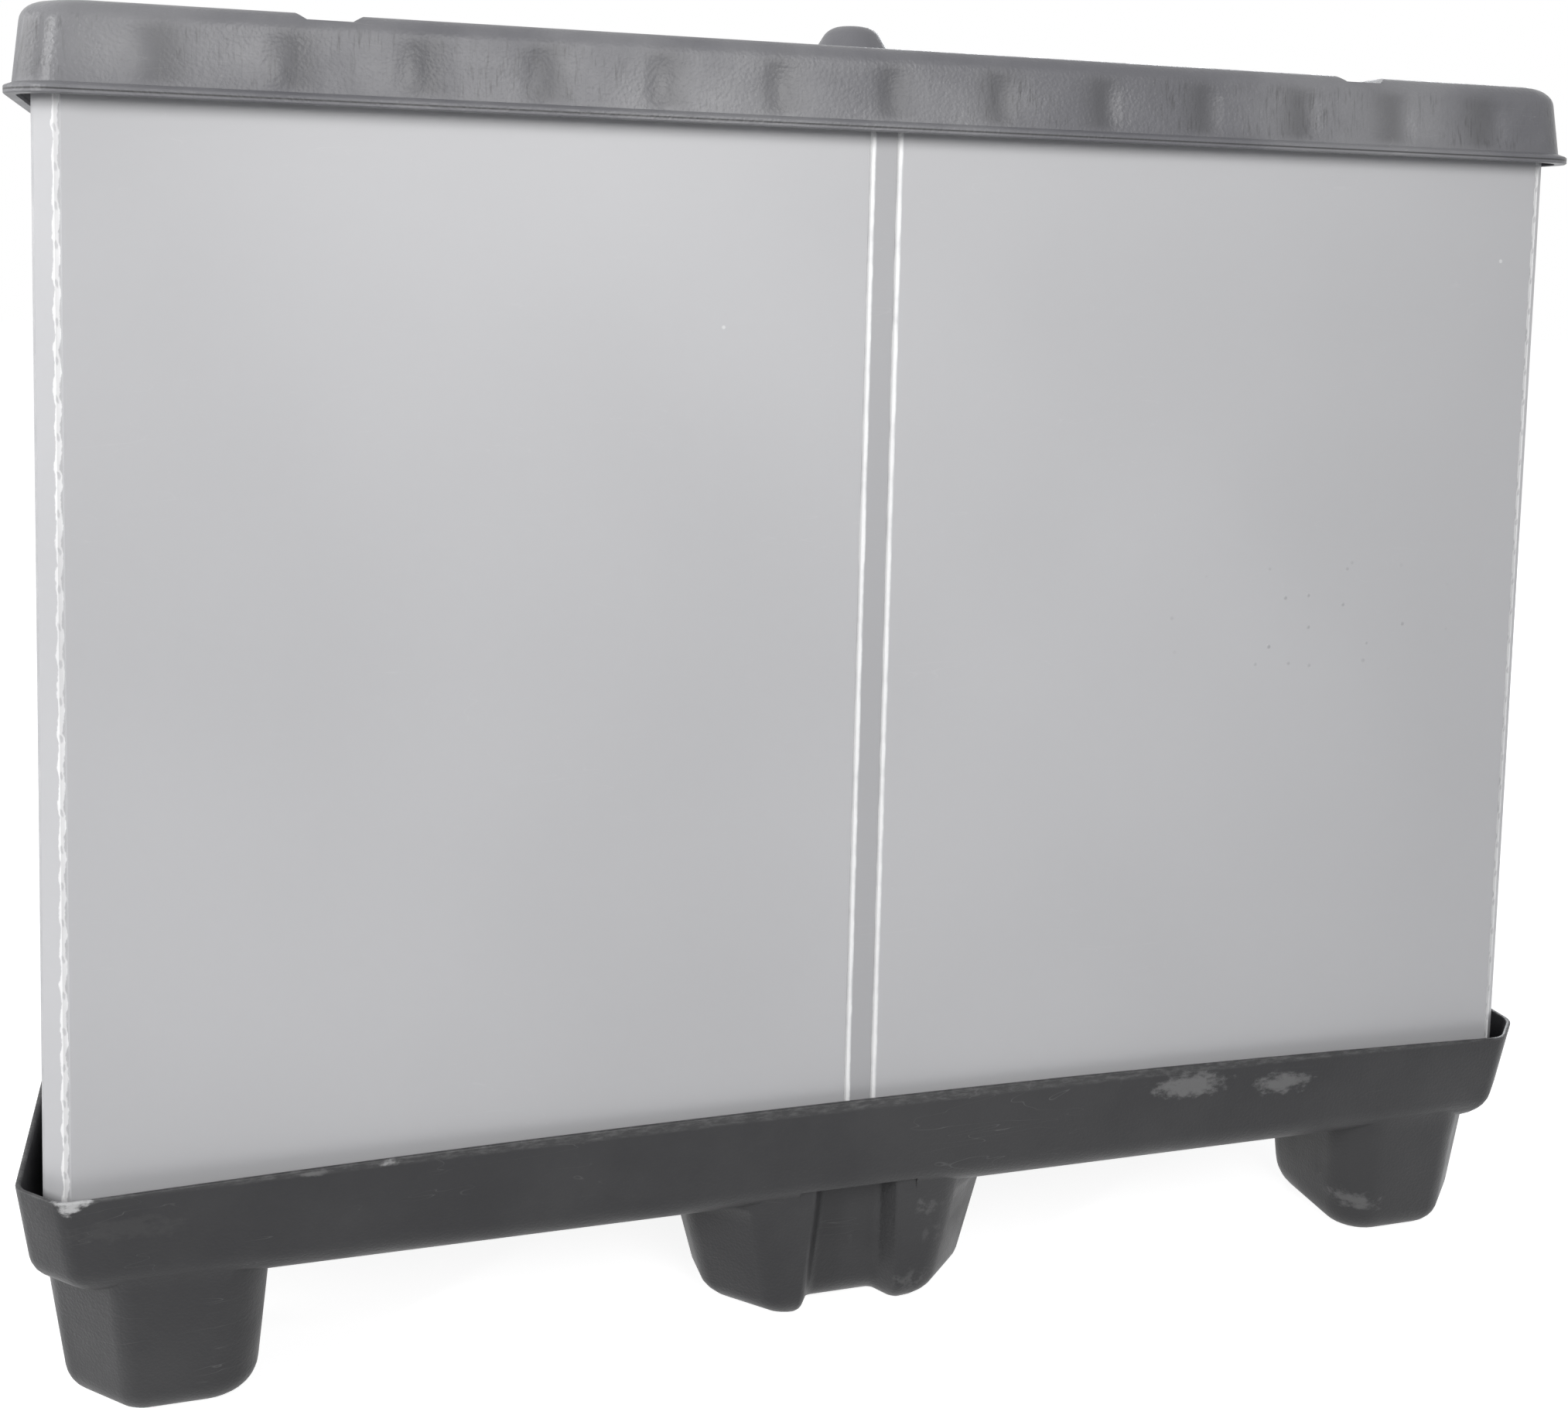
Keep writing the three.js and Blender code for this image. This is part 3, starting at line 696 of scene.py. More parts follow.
LID_WALL = wall_profile(SKIRT, LID_DRAFT, LID_ROUND, 8)
LID_START_X, LID_START_Y = LID_HALF_X - LID_WALL[0][1], LID_HALF_Y - LID_WALL[0][1]
print("skirt profile:", [(round(rise / MM), round(inset / MM, 1)) for rise, inset in LID_WALL])

# %% [markdown]
# ## The cap, from its top down to the flange
# The rings go down this time. The last few make the flange: out along a short slope, round its
# edge, and down to the bottom of the lid.

# %% Outside of the lid and the room inside it
FLUTE_RINGS = ((18, 0.35), (24, 0.85), (33, 1.0), (42, 0.9), (49, 0.45))
FLANGE_RINGS = ((53.6, 0.8), (54.8, -1.6), (55.6, -3.3), (56.5, -4.0), (60.7, -4.0), (61.5, -3.2))


def lid_outside():
    piece = start_outline("formed_lid", lid_box(LID_WALL[0][1]), LID_TOP)
    cut_corners(piece, everywhere, 21 * MM)
    round_corners(piece, everywhere, 26 * MM, turn=45, segments=5)
    for offset, _ in FLUTE_FORM + ((1, 0),):
        for side in sorted({-offset, offset}):
            for flute in FLUTES_X:
                split_at((flute + side * FLUTE_HALF_WIDTH, 0, 0), (1, 0, 0))
            for flute in FLUTES_Y:
                split_at((0, flute + side * FLUTE_HALF_WIDTH, 0), (0, 1, 0))
    merge_inside()
    for rise, inset in LID_WALL[1:-1]:
        next_ring(piece, lid_box(inset), LID_TOP - rise)
    for rise, _ in FLUTE_RINGS:
        inset = (SKIRT - rise * MM) * tan(radians(LID_DRAFT))
        next_ring(piece, lid_box(inset), LID_TOP - rise * MM)
    for rise, inset in FLANGE_RINGS:
        next_ring(piece, lid_box(inset * MM), LID_TOP - rise * MM)
    for rise, share in FLUTE_RINGS:
        draw_in_flutes(piece, LID_TOP - rise * MM, share)
    return close_up(piece)


def lid_room():
    profile = wall_profile(SKIRT - SHEET, LID_DRAFT, LID_ROUND - SHEET, 6)
    piece = start_outline("lid_room", lid_box(profile[0][1] + SHEET), LID_TOP - SHEET)
    cut_corners(piece, everywhere, 19 * MM)
    round_corners(piece, everywhere, 22 * MM, turn=45, segments=4)
    bpy.ops.mesh.select_all(action="SELECT")
    for rise, inset in profile[1:]:
        next_ring(piece, lid_box(inset + SHEET), LID_TOP - SHEET - rise)
    next_ring(piece, lid_box(SHEET), LID_TOP - SKIRT - 10 * MM)
    return close_up(piece)


lid = lid_outside()
under_lid = lid_room()
print("lid faces:", len(lid.data.polygons))

# %% [markdown]
# ## Strap grooves and knobs
# A groove is a bar with sloping sides, cut out of the top; the inner skin follows it as a ridge. A
# knob starts as a cone with its point cut off, and its upper edge gets a wide bevel.

# %% Grooves, knobs and the finished lid
GROOVE_X, GROOVE_DEPTH = 395 * MM, 5 * MM
KNOB_Y, KNOB_HEIGHT = 396 * MM, 24 * MM
KNOB_FOOT, KNOB_HEAD = 33 * MM, 17.5 * MM


def groove_bar(x, grow, top):
    floor, mouth, ends = 15 * MM + grow, 22.5 * MM + grow, 520 * MM
    piece = start_outline("groove_bar", (x - floor, x + floor, -ends, ends), top - GROOVE_DEPTH)
    next_ring(piece, (x - mouth, x + mouth, -ends, ends), top)
    wide = mouth + (mouth - floor) * 2
    next_ring(piece, (x - wide, x + wide, -ends, ends), top + 2 * GROOVE_DEPTH)
    return close_up(piece)


def knob(y, shrink, foot):
    """A knob, or with shrink the room inside it."""
    bpy.ops.object.select_all(action="DESELECT")
    depth = KNOB_HEIGHT - shrink - foot
    bpy.ops.mesh.primitive_cone_add(
        vertices=64, radius1=KNOB_FOOT - shrink, radius2=KNOB_HEAD - shrink, depth=depth,
        location=(0, y, LID_TOP + foot + depth / 2))
    piece = bpy.context.object
    bpy.ops.object.transform_apply(location=True, rotation=True, scale=True)
    bpy.ops.object.mode_set(mode="EDIT")
    top = LID_TOP + foot + depth
    pick(piece, "edges", lambda at: at.z > top - 0.1 * MM)
    bpy.ops.mesh.bevel(offset=8 * MM, segments=8, affect="EDGES")
    return close_up(piece)


def both(make, *values):
    """The same piece at the left and right, or front and back, joined to one object."""
    return join_all([make(-values[0], *values[1:]), make(values[0], *values[1:])], make.__name__)


combine(lid, both(groove_bar, GROOVE_X, 0, LID_TOP), "DIFFERENCE")
combine(under_lid, both(groove_bar, GROOVE_X, SHEET, LID_TOP - SHEET), "DIFFERENCE")
bevel_sharp(lid, 20, 4 * MM, 4, lambda at: at.z > LID_TOP - 0.5 * MM
            and abs(abs(at.x) - GROOVE_X) < 23 * MM and abs(at.y) < 470 * MM)
combine(lid, both(knob, KNOB_Y, 0, -1 * MM), "UNION")
combine(under_lid, both(knob, KNOB_Y, SHEET, -6 * MM), "UNION")
combine(lid, under_lid, "DIFFERENCE")
left_open = mend_seams(lid)
shade(lid, 30)
print("finished lid:", len(lid.data.polygons), "faces,", left_open, "open edges")

# %% [markdown]
# ## Where the three pieces belong
# Each finished piece takes the place of its imported solid and rides on the box's one body.
# Nothing on this box is hinged, so there is only that one body.

# %% Standing in for the imported solids
FINISHED = (
    (tray, "pallet_base", "tray_plastic"),
    (sleeve, "sleeve", "sleeve_board"),
    (lid, "lid", "lid_plastic"),
)
for piece, node, slot in FINISHED:
    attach(piece, "root")
    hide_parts(node)
    print(piece.name, "stands for", node)

# %% [markdown]
# ## Wiring a material
# A material is a net of nodes. A few helpers keep the wiring short: one adds a node and sets its
# inputs, one builds an empty node group with named sockets, and some add the nodes that are used
# most. All patterns read Object coordinates, which are metres on these pieces.

# %% Helpers for nodes
def add(tree, kind, inputs=None, **settings):
    """Adds a node. An input is given a value, or the output socket that feeds it."""
    node = tree.nodes.new("ShaderNode" + kind)
    for name, value in settings.items():
        setattr(node, name, value)
    for name, value in (inputs or {}).items():
        if isinstance(value, bpy.types.NodeSocket):
            tree.links.new(value, node.inputs[name])
        else:
            node.inputs[name].default_value = value
    return node


def math(tree, operation, first, second=0.0, clamp=False):
    node = add(tree, "Math", {0: first, 1: second}, operation=operation, use_clamp=clamp)
    return node.outputs[0]


def times(tree, first, *others):
    """The product of two or more values."""
    for other in others:
        first = math(tree, "MULTIPLY", first, other)
    return first


def minus(tree, first, second):
    return math(tree, "SUBTRACT", first, second)


def band(tree, value, low, high, to_low=0.0, to_high=1.0):
    """A soft step: to_low below low, to_high above high."""
    node = add(tree, "MapRange", {"Value": value, "From Min": low, "From Max": high,
                                  "To Min": to_low, "To Max": to_high},
               interpolation_type="SMOOTHSTEP")
    return node.outputs["Result"]


def fade(tree, value, low, high):
    """The step turned round: 1 below low, 0 above high."""
    return band(tree, value, low, high, 1.0, 0.0)


def noise(tree, vector, scale, detail=3.0, roughness=0.55, distortion=0.0):
    node = add(tree, "TexNoise", {"Vector": vector, "Scale": scale, "Detail": detail,
                                  "Roughness": roughness, "Distortion": distortion})
    return node.outputs["Fac"]


def stretch(tree, vector, scale):
    return add(tree, "Mapping", {"Vector": vector, "Scale": scale}).outputs["Vector"]


def share_of_reach(tree, vector, centre, reach):
    """How far a spot lies from a centre, as a share of the reach in x, y and z."""
    apart = add(tree, "VectorMath", {0: vector, 1: centre}, operation="SUBTRACT").outputs[0]
    shares = add(tree, "VectorMath", {0: apart, 1: reach}, operation="DIVIDE").outputs[0]
    return add(tree, "VectorMath", {0: shares}, operation="LENGTH").outputs["Value"]


def blend(tree, share, first, second):
    """Mixes two colours, from the first at 0 to the second at 1."""
    node = tree.nodes.new("ShaderNodeMix")
    node.data_type = "RGBA"
    colours = [socket for socket in node.inputs if socket.type == "RGBA"]
    for socket, value in zip([node.inputs[0], *colours], (share, first, second)):
        if isinstance(value, bpy.types.NodeSocket):
            tree.links.new(value, socket)
        else:
            socket.default_value = value
    return next(socket for socket in node.outputs if socket.type == "RGBA")


def grey(value, blue=1.0):
    return (value, value, value * blue, 1)


def new_group(name, inputs, outputs):
    """An empty node group. Inputs come as name: value, outputs as names."""
    group = bpy.data.node_groups.new(name, "ShaderNodeTree")
    group.interface.new_socket("Vector", in_out="INPUT", socket_type="NodeSocketVector")
    for label, value in inputs.items():
        socket = group.interface.new_socket(label, in_out="INPUT", socket_type="NodeSocketFloat")
        socket.default_value = value
    for label in outputs:
        group.interface.new_socket(label, in_out="OUTPUT", socket_type="NodeSocketFloat")
    given, wanted = (group.nodes.new("NodeGroup" + end) for end in ("Input", "Output"))
    return group, given.outputs, wanted.inputs


def use_group(tree, group, vector, values):
    node = tree.nodes.new("ShaderNodeGroup")
    node.node_tree = group
    tree.links.new(vector, node.inputs["Vector"])
    for label, value in values.items():
        node.inputs[label].default_value = value
    return node.outputs


def new_material(name, piece):
    material = bpy.data.materials.new(name)
    material.use_nodes = True
    tree = material.node_tree
    piece.data.materials.clear()
    piece.data.materials.append(material)
    spot = add(tree, "TexCoord").outputs["Object"]
    return tree, tree.nodes["Principled BSDF"], spot


print("node helpers ready:", add.__name__, new_group.__name__)

# %% [markdown]
# ## Grain of the formed sheet
# Sheet for such trays and lids is rolled with a leathery grain before it is formed. Small cells
# with soft borders make it, broken up by a finer noise. Tray and lid both have it, so it is a
# node group.

# %% The grain group
grain, given, wanted = new_group("sheet_grain", {"Scale": 420.0}, ["Height"])
cells = add(grain, "TexVoronoi", {"Vector": given["Vector"], "Scale": given["Scale"]},
            feature="SMOOTH_F1").outputs["Distance"]
fine = noise(grain, given["Vector"], 900.0, 2.0)
grain.links.new(math(grain, "ADD", cells, times(grain, fine, 0.5)), wanted["Height"])
print("group:", grain.name)

# %% [markdown]
# ## Scuffs
# A fork or another box rubs the sheet, and leaves dull, light, ragged patches and thin scratches.
# Patches come from a wide noise cut off high, with a ragged second noise on top. Scratches are the
# thin middle line of a noise that is drawn out along the wall.

# %% The scuff group
scuffs, given, wanted = new_group(
    "scuffs", {"Size": 9.0, "Coverage": 0.34, "Scratches": 0.5}, ["Patches", "Lines"])
wide = noise(scuffs, given["Vector"], given["Size"], 4.0, 0.7)
above = minus(scuffs, wide, minus(scuffs, 1.0, given["Coverage"]))
ragged = noise(scuffs, given["Vector"], 130.0, 4.0, 0.7)
patch = times(scuffs, band(scuffs, above, 0.0, 0.05), band(scuffs, ragged, 0.42, 0.62))
scuffs.links.new(patch, wanted["Patches"])
along = stretch(scuffs, given["Vector"], (1.0, 1.0, 7.0))
curl = noise(scuffs, along, 6.0, 2.0, 0.5, 1.2)
thin = fade(scuffs, math(scuffs, "ABSOLUTE", minus(scuffs, curl, 0.5)), 0.0, 0.003)
broken = band(scuffs, noise(scuffs, given["Vector"], 11.0, 2.0), 0.5, 0.62)
scuffs.links.new(times(scuffs, thin, broken, given["Scratches"]), wanted["Lines"])
print("group:", scuffs.name)

# %% [markdown]
# ## The tray's sheet
# Black recycled polyethylene, faded to a dark grey. The rim and the feet are rubbed lighter, and
# light scuffs sit where trucks and other trays touch it. The largest are placed where the
# photograph shows them: each has a centre, a reach, how light it is and how strong.

# %% Material of the tray
def rough_sheet(name, piece, base, worn, gloss, grain_values, scuff_values):
    """A grained, scuffed sheet. Returns the net, its shader, the spot and the colour so far."""
    tree, shader, spot = new_material(name, piece)
    cloud = band(tree, noise(tree, spot, 5.0, 5.0, 0.6), 0.35, 0.68)
    colour = blend(tree, cloud, grey(base * 0.8, 1.08), grey(base * 1.3, 1.04))
    marks = use_group(tree, scuffs, spot, scuff_values)
    for mark, strength in (("Patches", 0.55), ("Lines", 0.7)):
        colour = blend(tree, times(tree, marks[mark], strength), colour, grey(worn))
    height = use_group(tree, grain, spot, grain_values)["Height"]
    dents = noise(tree, spot, 7.0, 2.0)
    soft = add(tree, "Bump", {"Height": dents, "Distance": 0.004, "Strength": 0.35})
    bump = add(tree, "Bump", {"Height": height, "Distance": 0.0006, "Strength": 0.4,
                              "Normal": soft.outputs["Normal"]})
    tree.links.new(bump.outputs["Normal"], shader.inputs["Normal"])
    shine = band(tree, noise(tree, spot, 14.0, 3.0), 0.3, 0.7, gloss, gloss + 0.14)
    rough = math(tree, "ADD", shine, times(tree, marks["Patches"], 0.2), clamp=True)
    tree.links.new(rough, shader.inputs["Roughness"])
    shader.inputs["Specular IOR Level"].default_value = 0.35
    return tree, shader, spot, colour


def rubbed(tree, spot, colour, centre, reach, worn, strength):
    """A ragged light patch round a spot, as long, deep and high as the reach says."""
    far = share_of_reach(tree, spot, centre, reach)
    ragged = noise(tree, stretch(tree, spot, (1.0, 1.0, 1.8)), 75.0, 4.0, 0.7)
    edge = math(tree, "ADD", far, times(tree, minus(tree, ragged, 0.5), 2.4))
    mask = times(tree, fade(tree, edge, 0.35, 1.05), strength)
    return blend(tree, mask, colour, grey(worn))


WORN_SPOTS = (
    ((-0.563, -0.5, 0.177), (0.013, 0.02, 0.008), 0.6, 0.9),
    ((0.274, -0.497, 0.165), (0.036, 0.02, 0.012), 0.22, 0.7),
    ((0.360, -0.497, 0.158), (0.026, 0.02, 0.010), 0.22, 0.65),
    ((-0.352, -0.5, 0.178), (0.007, 0.02, 0.003), 0.45, 0.7),
    ((-0.405, -0.5, 0.177), (0.012, 0.02, 0.0025), 0.2, 0.6),
    ((0.446, -0.475, 0.034), (0.028, 0.03, 0.009), 0.2, 0.6),
    ((-0.525, -0.495, 0.152), (0.04, 0.02, 0.010), 0.06, 0.4),
)
tree, shader, spot, colour = rough_sheet(
    "tray_sheet", tray, base=0.032, worn=0.16, gloss=0.38, grain_values={"Scale": 520.0},
    scuff_values={"Size": 8.0, "Coverage": 0.36, "Scratches": 0.6})
axes = add(tree, "SeparateXYZ", {"Vector": spot}).outputs
rim_edge = band(tree, axes["Z"], RIM - 2.5 * MM, RIM + 0.5 * MM)
flat_noise = noise(tree, stretch(tree, spot, (1.0, 1.0, 4.0)), 85.0, 5.0, 0.7)
nicks = band(tree, flat_noise, 0.4, 0.7, 0.1, 0.6)
colour = blend(tree, times(tree, rim_edge, nicks), colour, grey(0.15))
for centre, reach, worn, strength in WORN_SPOTS:
    colour = rubbed(tree, spot, colour, centre, reach, worn, strength)
foot_rub = band(tree, axes["Z"], 3 * MM, 12 * MM, 0.5, 0.0)
colour = blend(tree, times(tree, foot_rub, nicks), colour, grey(0.28))
tree.links.new(colour, shader.inputs["Base Color"])
print("material:", tray.data.materials[0].name)

# %% [markdown]
# ## The lid's sheet
# The same sheet, less battered. Forming drew it down the skirt, which left fine upright lines. The
# flutes' hollows get painted shade: they are painted darker, most at half height. The flutes are
# found again by their even pitch along the front and along the sides. A thin dark line runs along
# the edge of the flange.

# %% Material of the lid
tree, shader, spot, colour = rough_sheet(
    "lid_sheet", lid, base=0.185, worn=0.42, gloss=0.3, grain_values={"Scale": 430.0},
    scuff_values={"Size": 6.0, "Coverage": 0.27, "Scratches": 0.3})
axes = add(tree, "SeparateXYZ", {"Vector": spot}).outputs
on_front = math(tree, "GREATER_THAN", math(tree, "ABSOLUTE", axes["Y"]), LID_HALF_Y - 22 * MM)
along = add(tree, "Mix", {0: on_front, 2: axes["Y"], 3: axes["X"]}).outputs[0]
turns = math(tree, "FRACT", math(tree, "ADD", math(tree, "DIVIDE", along, FLUTE_PITCH), 100.5))
painted_flute_shade = fade(tree, math(tree, "ABSOLUTE", minus(tree, turns, 0.5)), 0.0, 0.3)
low = band(tree, axes["Z"], LID_TOP - 56 * MM, LID_TOP - 47 * MM)
high = fade(tree, axes["Z"], LID_TOP - 19 * MM, LID_TOP - 5 * MM)
on_skirt = times(tree, low, high)
# Painted shade: the hollows of the flutes are painted darker, most at half height of the skirt.
colour = blend(tree, times(tree, painted_flute_shade, on_skirt, 0.42), colour, grey(0.06, 1.04))
drawn = noise(tree, stretch(tree, spot, (1.0, 1.0, 0.05)), 520.0, 2.0)
sparse = band(tree, noise(tree, spot, 16.0, 2.0), 0.4, 0.6)
streaks = times(tree, band(tree, drawn, 0.5, 0.72), sparse, on_skirt, 0.45)
colour = blend(tree, streaks, colour, grey(0.05))
lip = fade(tree, axes["Z"], LID_TOP - 57.2 * MM, LID_TOP - 55.8 * MM)
off_line = math(tree, "ABSOLUTE", minus(tree, axes["Z"], LID_TOP - 58.6 * MM))
dark_line = times(tree, fade(tree, off_line, 0.3 * MM, 0.9 * MM), lip, 0.8)
colour = blend(tree, dark_line, colour, grey(0.03))
tree.links.new(colour, shader.inputs["Base Color"])
print("material:", lid.data.materials[0].name)

# %% [markdown]
# ## The sleeve's board
# Light grey polypropylene with a satin skin. Where the board is creased the plastic whitens, and
# along the corner folds the crushed bubbles show as a wavy white band with a grey eye at every
# bubble, one each 25 mm. Specks and short scratches are scattered thinly.

# %% Material of the sleeve
tree, shader, spot = new_material("bubble_board", sleeve)
axes = add(tree, "SeparateXYZ", {"Vector": spot}).outputs
across, deep = (math(tree, "ABSOLUTE", axes[name]) for name in "XY")
wobble = times(tree, noise(tree, spot, 45.0, 3.0), 1.6 * MM)


def crease_distance(x, y):
    """How far a spot lies from an upright crease at (±x, ±y), made a little uneven."""
    squares = [times(tree, value, value)
               for value in (minus(tree, across, x), minus(tree, deep, y))]
    return minus(tree, math(tree, "SQRT", math(tree, "ADD", *squares)), wobble)


BUBBLE_PITCH = 25 * MM
cloud = band(tree, noise(tree, spot, 2.2, 2.0), 0.3, 0.7)
colour = blend(tree, cloud, grey(0.535, 1.02), grey(0.575, 1.02))
# Painted shade: the narrow strip between the two middle folds is painted darker.
painted_fold_strip_shade = band(tree, across, FOLD_X - 3 * MM, FOLD_X, 0.5, 0.0)
colour = blend(tree, painted_fold_strip_shade, colour, grey(0.36, 1.03))
fold = crease_distance(FOLD_X, SLEEVE_HALF_Y)
fold_white = fade(tree, fold, 0.7 * MM, 1.8 * MM)
front_edge = crease_distance(SLEEVE_HALF_X - SLEEVE_CUT, SLEEVE_HALF_Y)
side_edge = crease_distance(SLEEVE_HALF_X, SLEEVE_HALF_Y - SLEEVE_CUT)
line = fade(tree, front_edge, 0.3 * MM, 1.3 * MM)
swing = math(tree, "SINE", times(tree, axes["Z"], 2 * pi / BUBBLE_PITCH))
beside = minus(tree, across, SLEEVE_HALF_X - SLEEVE_CUT + 1.2 * MM)
beside = math(tree, "DIVIDE", beside, 2.1 * MM)
beside = math(tree, "ADD", beside, times(tree, swing, 0.3))
ragged = minus(tree, noise(tree, spot, 160.0, 3.0), 0.5)
beside = math(tree, "ADD", beside, times(tree, ragged, 1.6))
crushed = fade(tree, math(tree, "ABSOLUTE", beside), 0.7, 1.15)
turns = math(tree, "FRACT", math(tree, "DIVIDE", axes["Z"], BUBBLE_PITCH))
above = math(tree, "DIVIDE", minus(tree, turns, 0.5), 0.14)
out = math(tree, "ADD", times(tree, beside, times(tree, beside, 3.0)), times(tree, above, above))
eye = band(tree, math(tree, "SQRT", out), 0.5, 1.1, 0.6, 0.0)
near = fade(tree, front_edge, 5.0 * MM, 7.0 * MM)
crushed = times(tree, math(tree, "SUBTRACT", crushed, eye, clamp=True), near)
patchy = band(tree, noise(tree, spot, 9.0, 2.0), 0.3, 0.6, 0.7, 1.0)
chain = times(tree, math(tree, "MAXIMUM", line, crushed), patchy)
side_white = times(tree, fade(tree, side_edge, 0.5 * MM, 2.0 * MM), 0.5)
white = math(tree, "MAXIMUM", math(tree, "MAXIMUM", fold_white, chain), side_white)
colour = blend(tree, white, colour, grey(0.9))
speck = add(tree, "TexVoronoi", {"Vector": spot, "Scale": 9.0}, feature="F1").outputs["Distance"]
colour = blend(tree, times(tree, fade(tree, speck, 0.012, 0.02), 0.6), colour, grey(0.85))
marks = use_group(tree, scuffs, spot, {"Size": 5.0, "Coverage": 0.2, "Scratches": 0.25})
colour = blend(tree, times(tree, marks["Lines"], 0.35), colour, grey(0.75))
rough = band(tree, noise(tree, spot, 5.0, 3.0), 0.3, 0.7, 0.36, 0.44)
tree.links.new(rough, shader.inputs["Roughness"])
print("material:", sleeve.data.materials[0].name)

# %% [markdown]
# ## Bubbles under the skin
# Soft dimples about twelve millimetres apart, far too shallow to show as shapes, and a few slow
# waves break the gloss as on the real board. On the right half of the front a patch of small
# pimples has come up, a little darker than the rest.

# %% Relief of the board
PIMPLES_AT, PIMPLES_REACH = (0.373, -0.482, 0.54), (0.14, 0.1, 0.05)
dimple = add(tree, "TexVoronoi", {"Vector": spot, "Scale": 84.0, "Randomness": 0.15},
             feature="SMOOTH_F1").outputs["Distance"]
waves = noise(tree, spot, 1.6, 1.0)
pimple_cells = add(tree, "TexVoronoi", {"Vector": spot, "Scale": 62.0}, feature="F1")
pimple = fade(tree, pimple_cells.outputs["Distance"], 0.05, 0.13)
far = share_of_reach(tree, spot, PIMPLES_AT, PIMPLES_REACH)
pimple = times(tree, pimple, fade(tree, far, 0.5, 1.2))
colour = blend(tree, times(tree, pimple, 0.5), colour, grey(0.3, 1.05))
tree.links.new(colour, shader.inputs["Base Color"])
wavy = add(tree, "Bump", {"Height": waves, "Distance": 0.01, "Strength": 0.5})
dimpled = add(tree, "Bump", {"Height": dimple, "Distance": 0.0008, "Strength": 0.05,
                             "Normal": wavy.outputs["Normal"]})
pimpled = add(tree, "Bump", {"Height": pimple, "Distance": 0.0006, "Strength": 0.5,
                             "Normal": dimpled.outputs["Normal"]})
tree.links.new(pimpled.outputs["Normal"], shader.inputs["Normal"])
print("relief wired to:", shader.inputs["Normal"].links[0].from_node.name)

# %% [markdown]
# ## The floor
# The box stands on a plain white floor. It is dull, so that it mirrors neither lamps nor box, and
# it is stage, not part of the box.

# %% Floor and backdrop
FLOOR_GLOW = 0.88
SKY = (0.2, 0.205, 0.22, 1)
bpy.ops.object.select_all(action="DESELECT")
bpy.ops.mesh.primitive_plane_add(size=40, location=(0, 0, 0))
floor = bpy.context.object
floor.name = floor.data.name = "studio_floor"
floor_material = bpy.data.materials.new("studio_floor")
floor_material.use_nodes = True
tree = floor_material.node_tree
floor_shader = tree.nodes["Principled BSDF"]
floor_shader.inputs["Base Color"].default_value = grey(0.55)
floor_shader.inputs["Roughness"].default_value = 0.9
floor_shader.inputs["Specular IOR Level"].default_value = 0.1
floor.data.materials.append(floor_material)
print("floor:", floor.dimensions[:2])

# %% [markdown]
# ## White behind, shadow below
# The photograph shows the box cut out on white. The floor adds a little glow for the camera's own
# rays, so that it reads as white and still darkens under the box. The sky is a plain grey light,
# and white wherever the camera or a reflection looks at it.

# %% White for the camera
def seen_directly(tree):
    """1 for rays from the camera and for reflected or refracted ones, 0 for plain light."""
    path = add(tree, "LightPath").outputs
    first = math(tree, "MAXIMUM", path["Is Camera Ray"], path["Is Glossy Ray"])
    return math(tree, "MAXIMUM", first, path["Is Transmission Ray"])


glow = math(tree, "MULTIPLY", seen_directly(tree), FLOOR_GLOW)
floor_shader.inputs["Emission Color"].default_value = grey(1.0)
tree.links.new(glow, floor_shader.inputs["Emission Strength"])

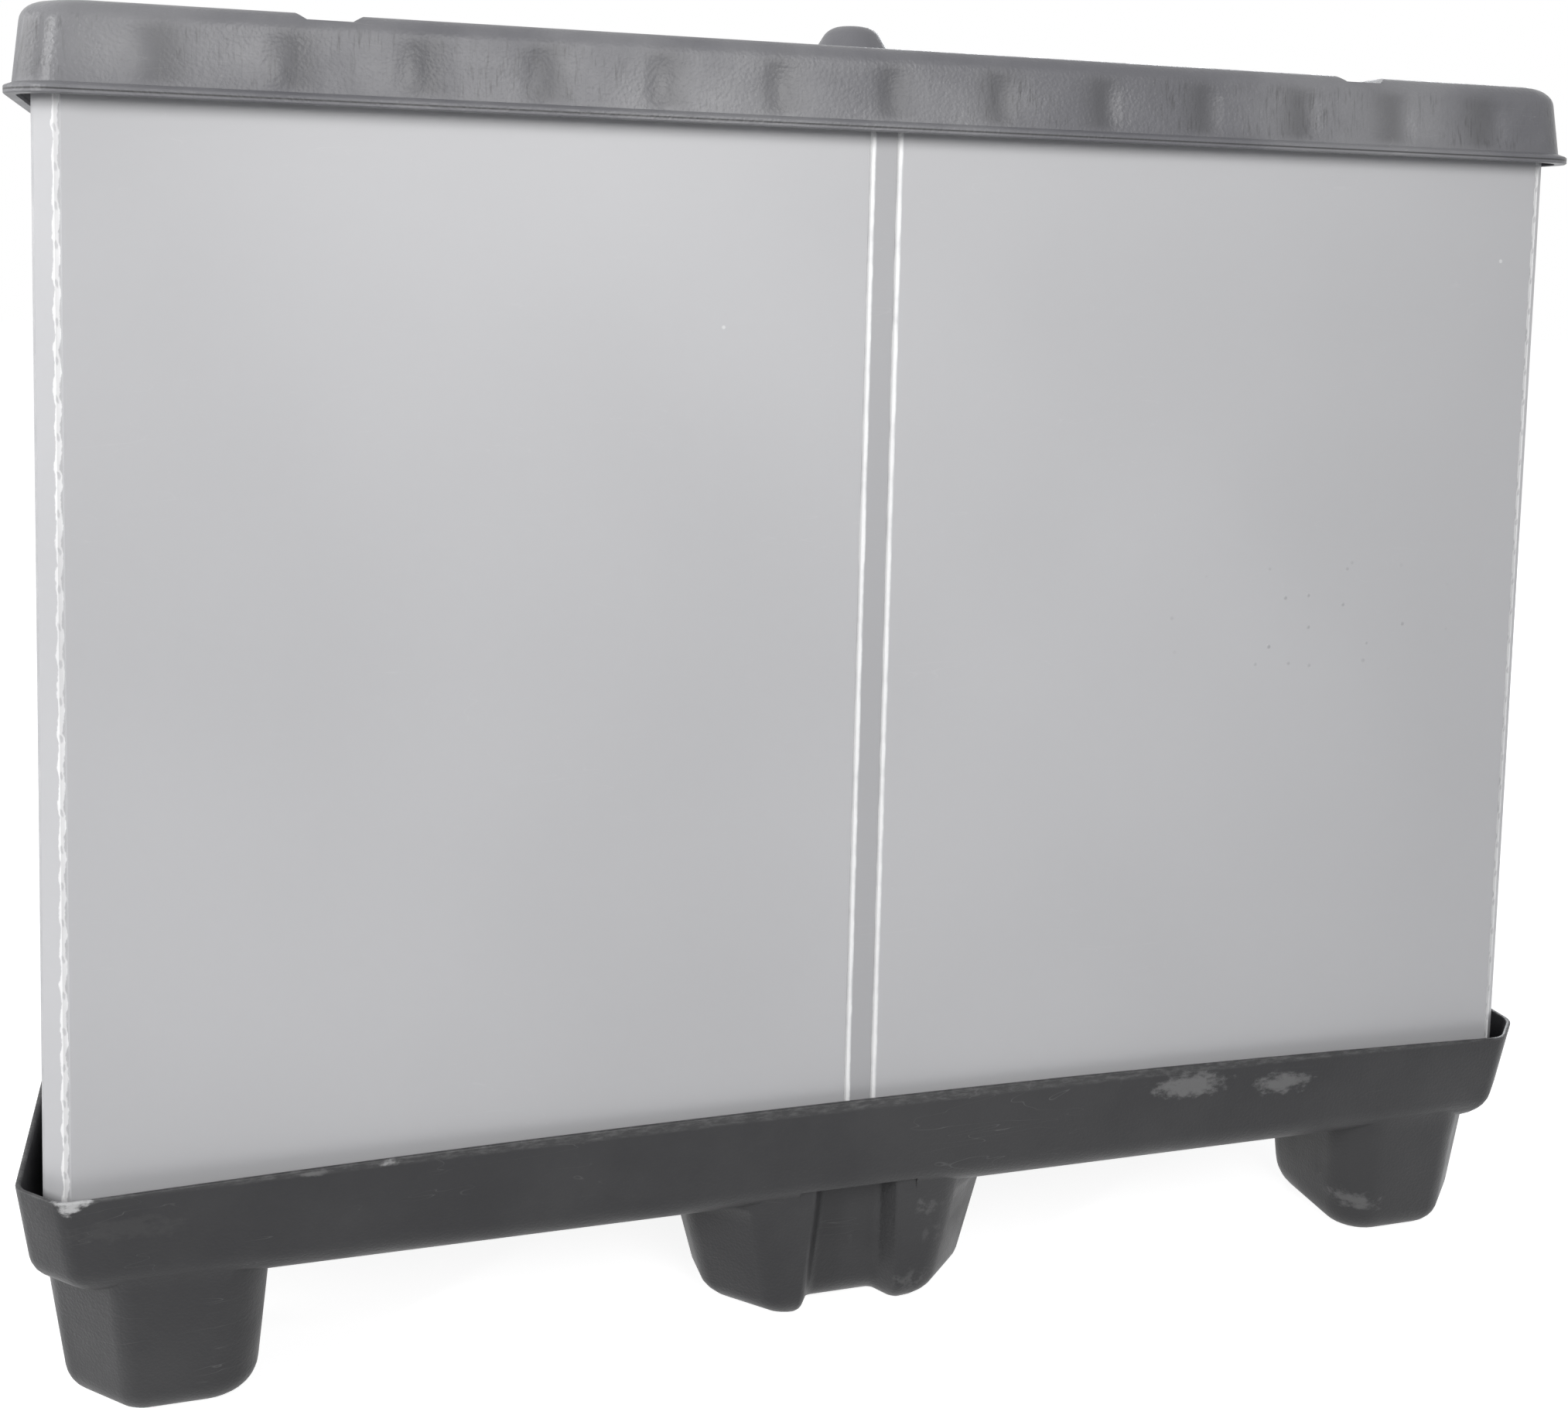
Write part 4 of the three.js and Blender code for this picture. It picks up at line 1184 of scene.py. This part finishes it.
world = bpy.context.scene.world or bpy.data.worlds.new("studio")
bpy.context.scene.world = world
world.use_nodes = True
sky = world.node_tree
background = next(node for node in sky.nodes if node.type == "BACKGROUND")
sky.links.new(blend(sky, seen_directly(sky), SKY, grey(1.0)), background.inputs["Color"])
background.inputs["Strength"].default_value = 1.0
print("sky light:", SKY[:3])

# %% [markdown]
# ## Four lamps
# A lamp in front, kept to a cone, lights the front of the sleeve most near its middle. A tall
# narrow one at the left makes the highlight on the lid's corner, and a wide one beyond it fills
# the left side. The last stands behind, for the views from there.

# %% Lamps
def soft_lamp(name, spot, aim, size, watts, colour=(1.0, 1.0, 1.0)):
    lamp = bpy.data.lights.new(name, "AREA")
    lamp.shape, lamp.size, lamp.energy, lamp.color = "SQUARE", size, watts, colour
    holder = bpy.data.objects.new(name, lamp)
    bpy.context.scene.collection.objects.link(holder)
    holder.location = spot
    holder.rotation_euler = (Vector(aim) - Vector(spot)).to_track_quat("-Z", "Y").to_euler()
    return holder


front = soft_lamp("front", (0.15, -2.7, 1.75), aim=(0.0, -0.5, 0.85), size=1.2, watts=6.9,
                  colour=(1.0, 0.995, 0.985))
front.data.spread = radians(80)
left = soft_lamp("left", (-2.8, -2.3, 1.7), aim=(-0.5, -0.4, 0.7), size=0.22, watts=52)
left.data.shape, left.data.size_y = "RECTANGLE", 1.4
soft_lamp("side", (-3.4, 0.4, 1.8), aim=(-0.6, 0, 0.5), size=1.6, watts=34)
soft_lamp("behind", (2.6, 3.6, 1.9), aim=(0, 0, 0.5), size=2.0, watts=95,
          colour=(0.94, 0.97, 1.0))
print("lamps:", sorted(light.name for light in bpy.data.lights))

# %% [markdown]
# ## The camera
# It stands low, close and a little to the left, as a person does in front of a box this size, and
# its picture is shifted down to hold the whole box.

# %% Camera and colours
camera = bpy.data.objects.new("camera", bpy.data.cameras.new("camera"))
bpy.context.scene.collection.objects.link(camera)
camera.location = (-0.4653, -1.7684, 0.8107)
camera.rotation_euler = [radians(angle) for angle in (84.9528, -1.3834, -16.8531)]
camera.data.sensor_width = 36
camera.data.lens = 42.63
camera.data.shift_x, camera.data.shift_y = -0.0004, -0.1753
bpy.context.scene.camera = camera
bpy.context.scene.view_settings.view_transform = "Standard"
print("camera lens:", round(camera.data.lens, 1), "mm")
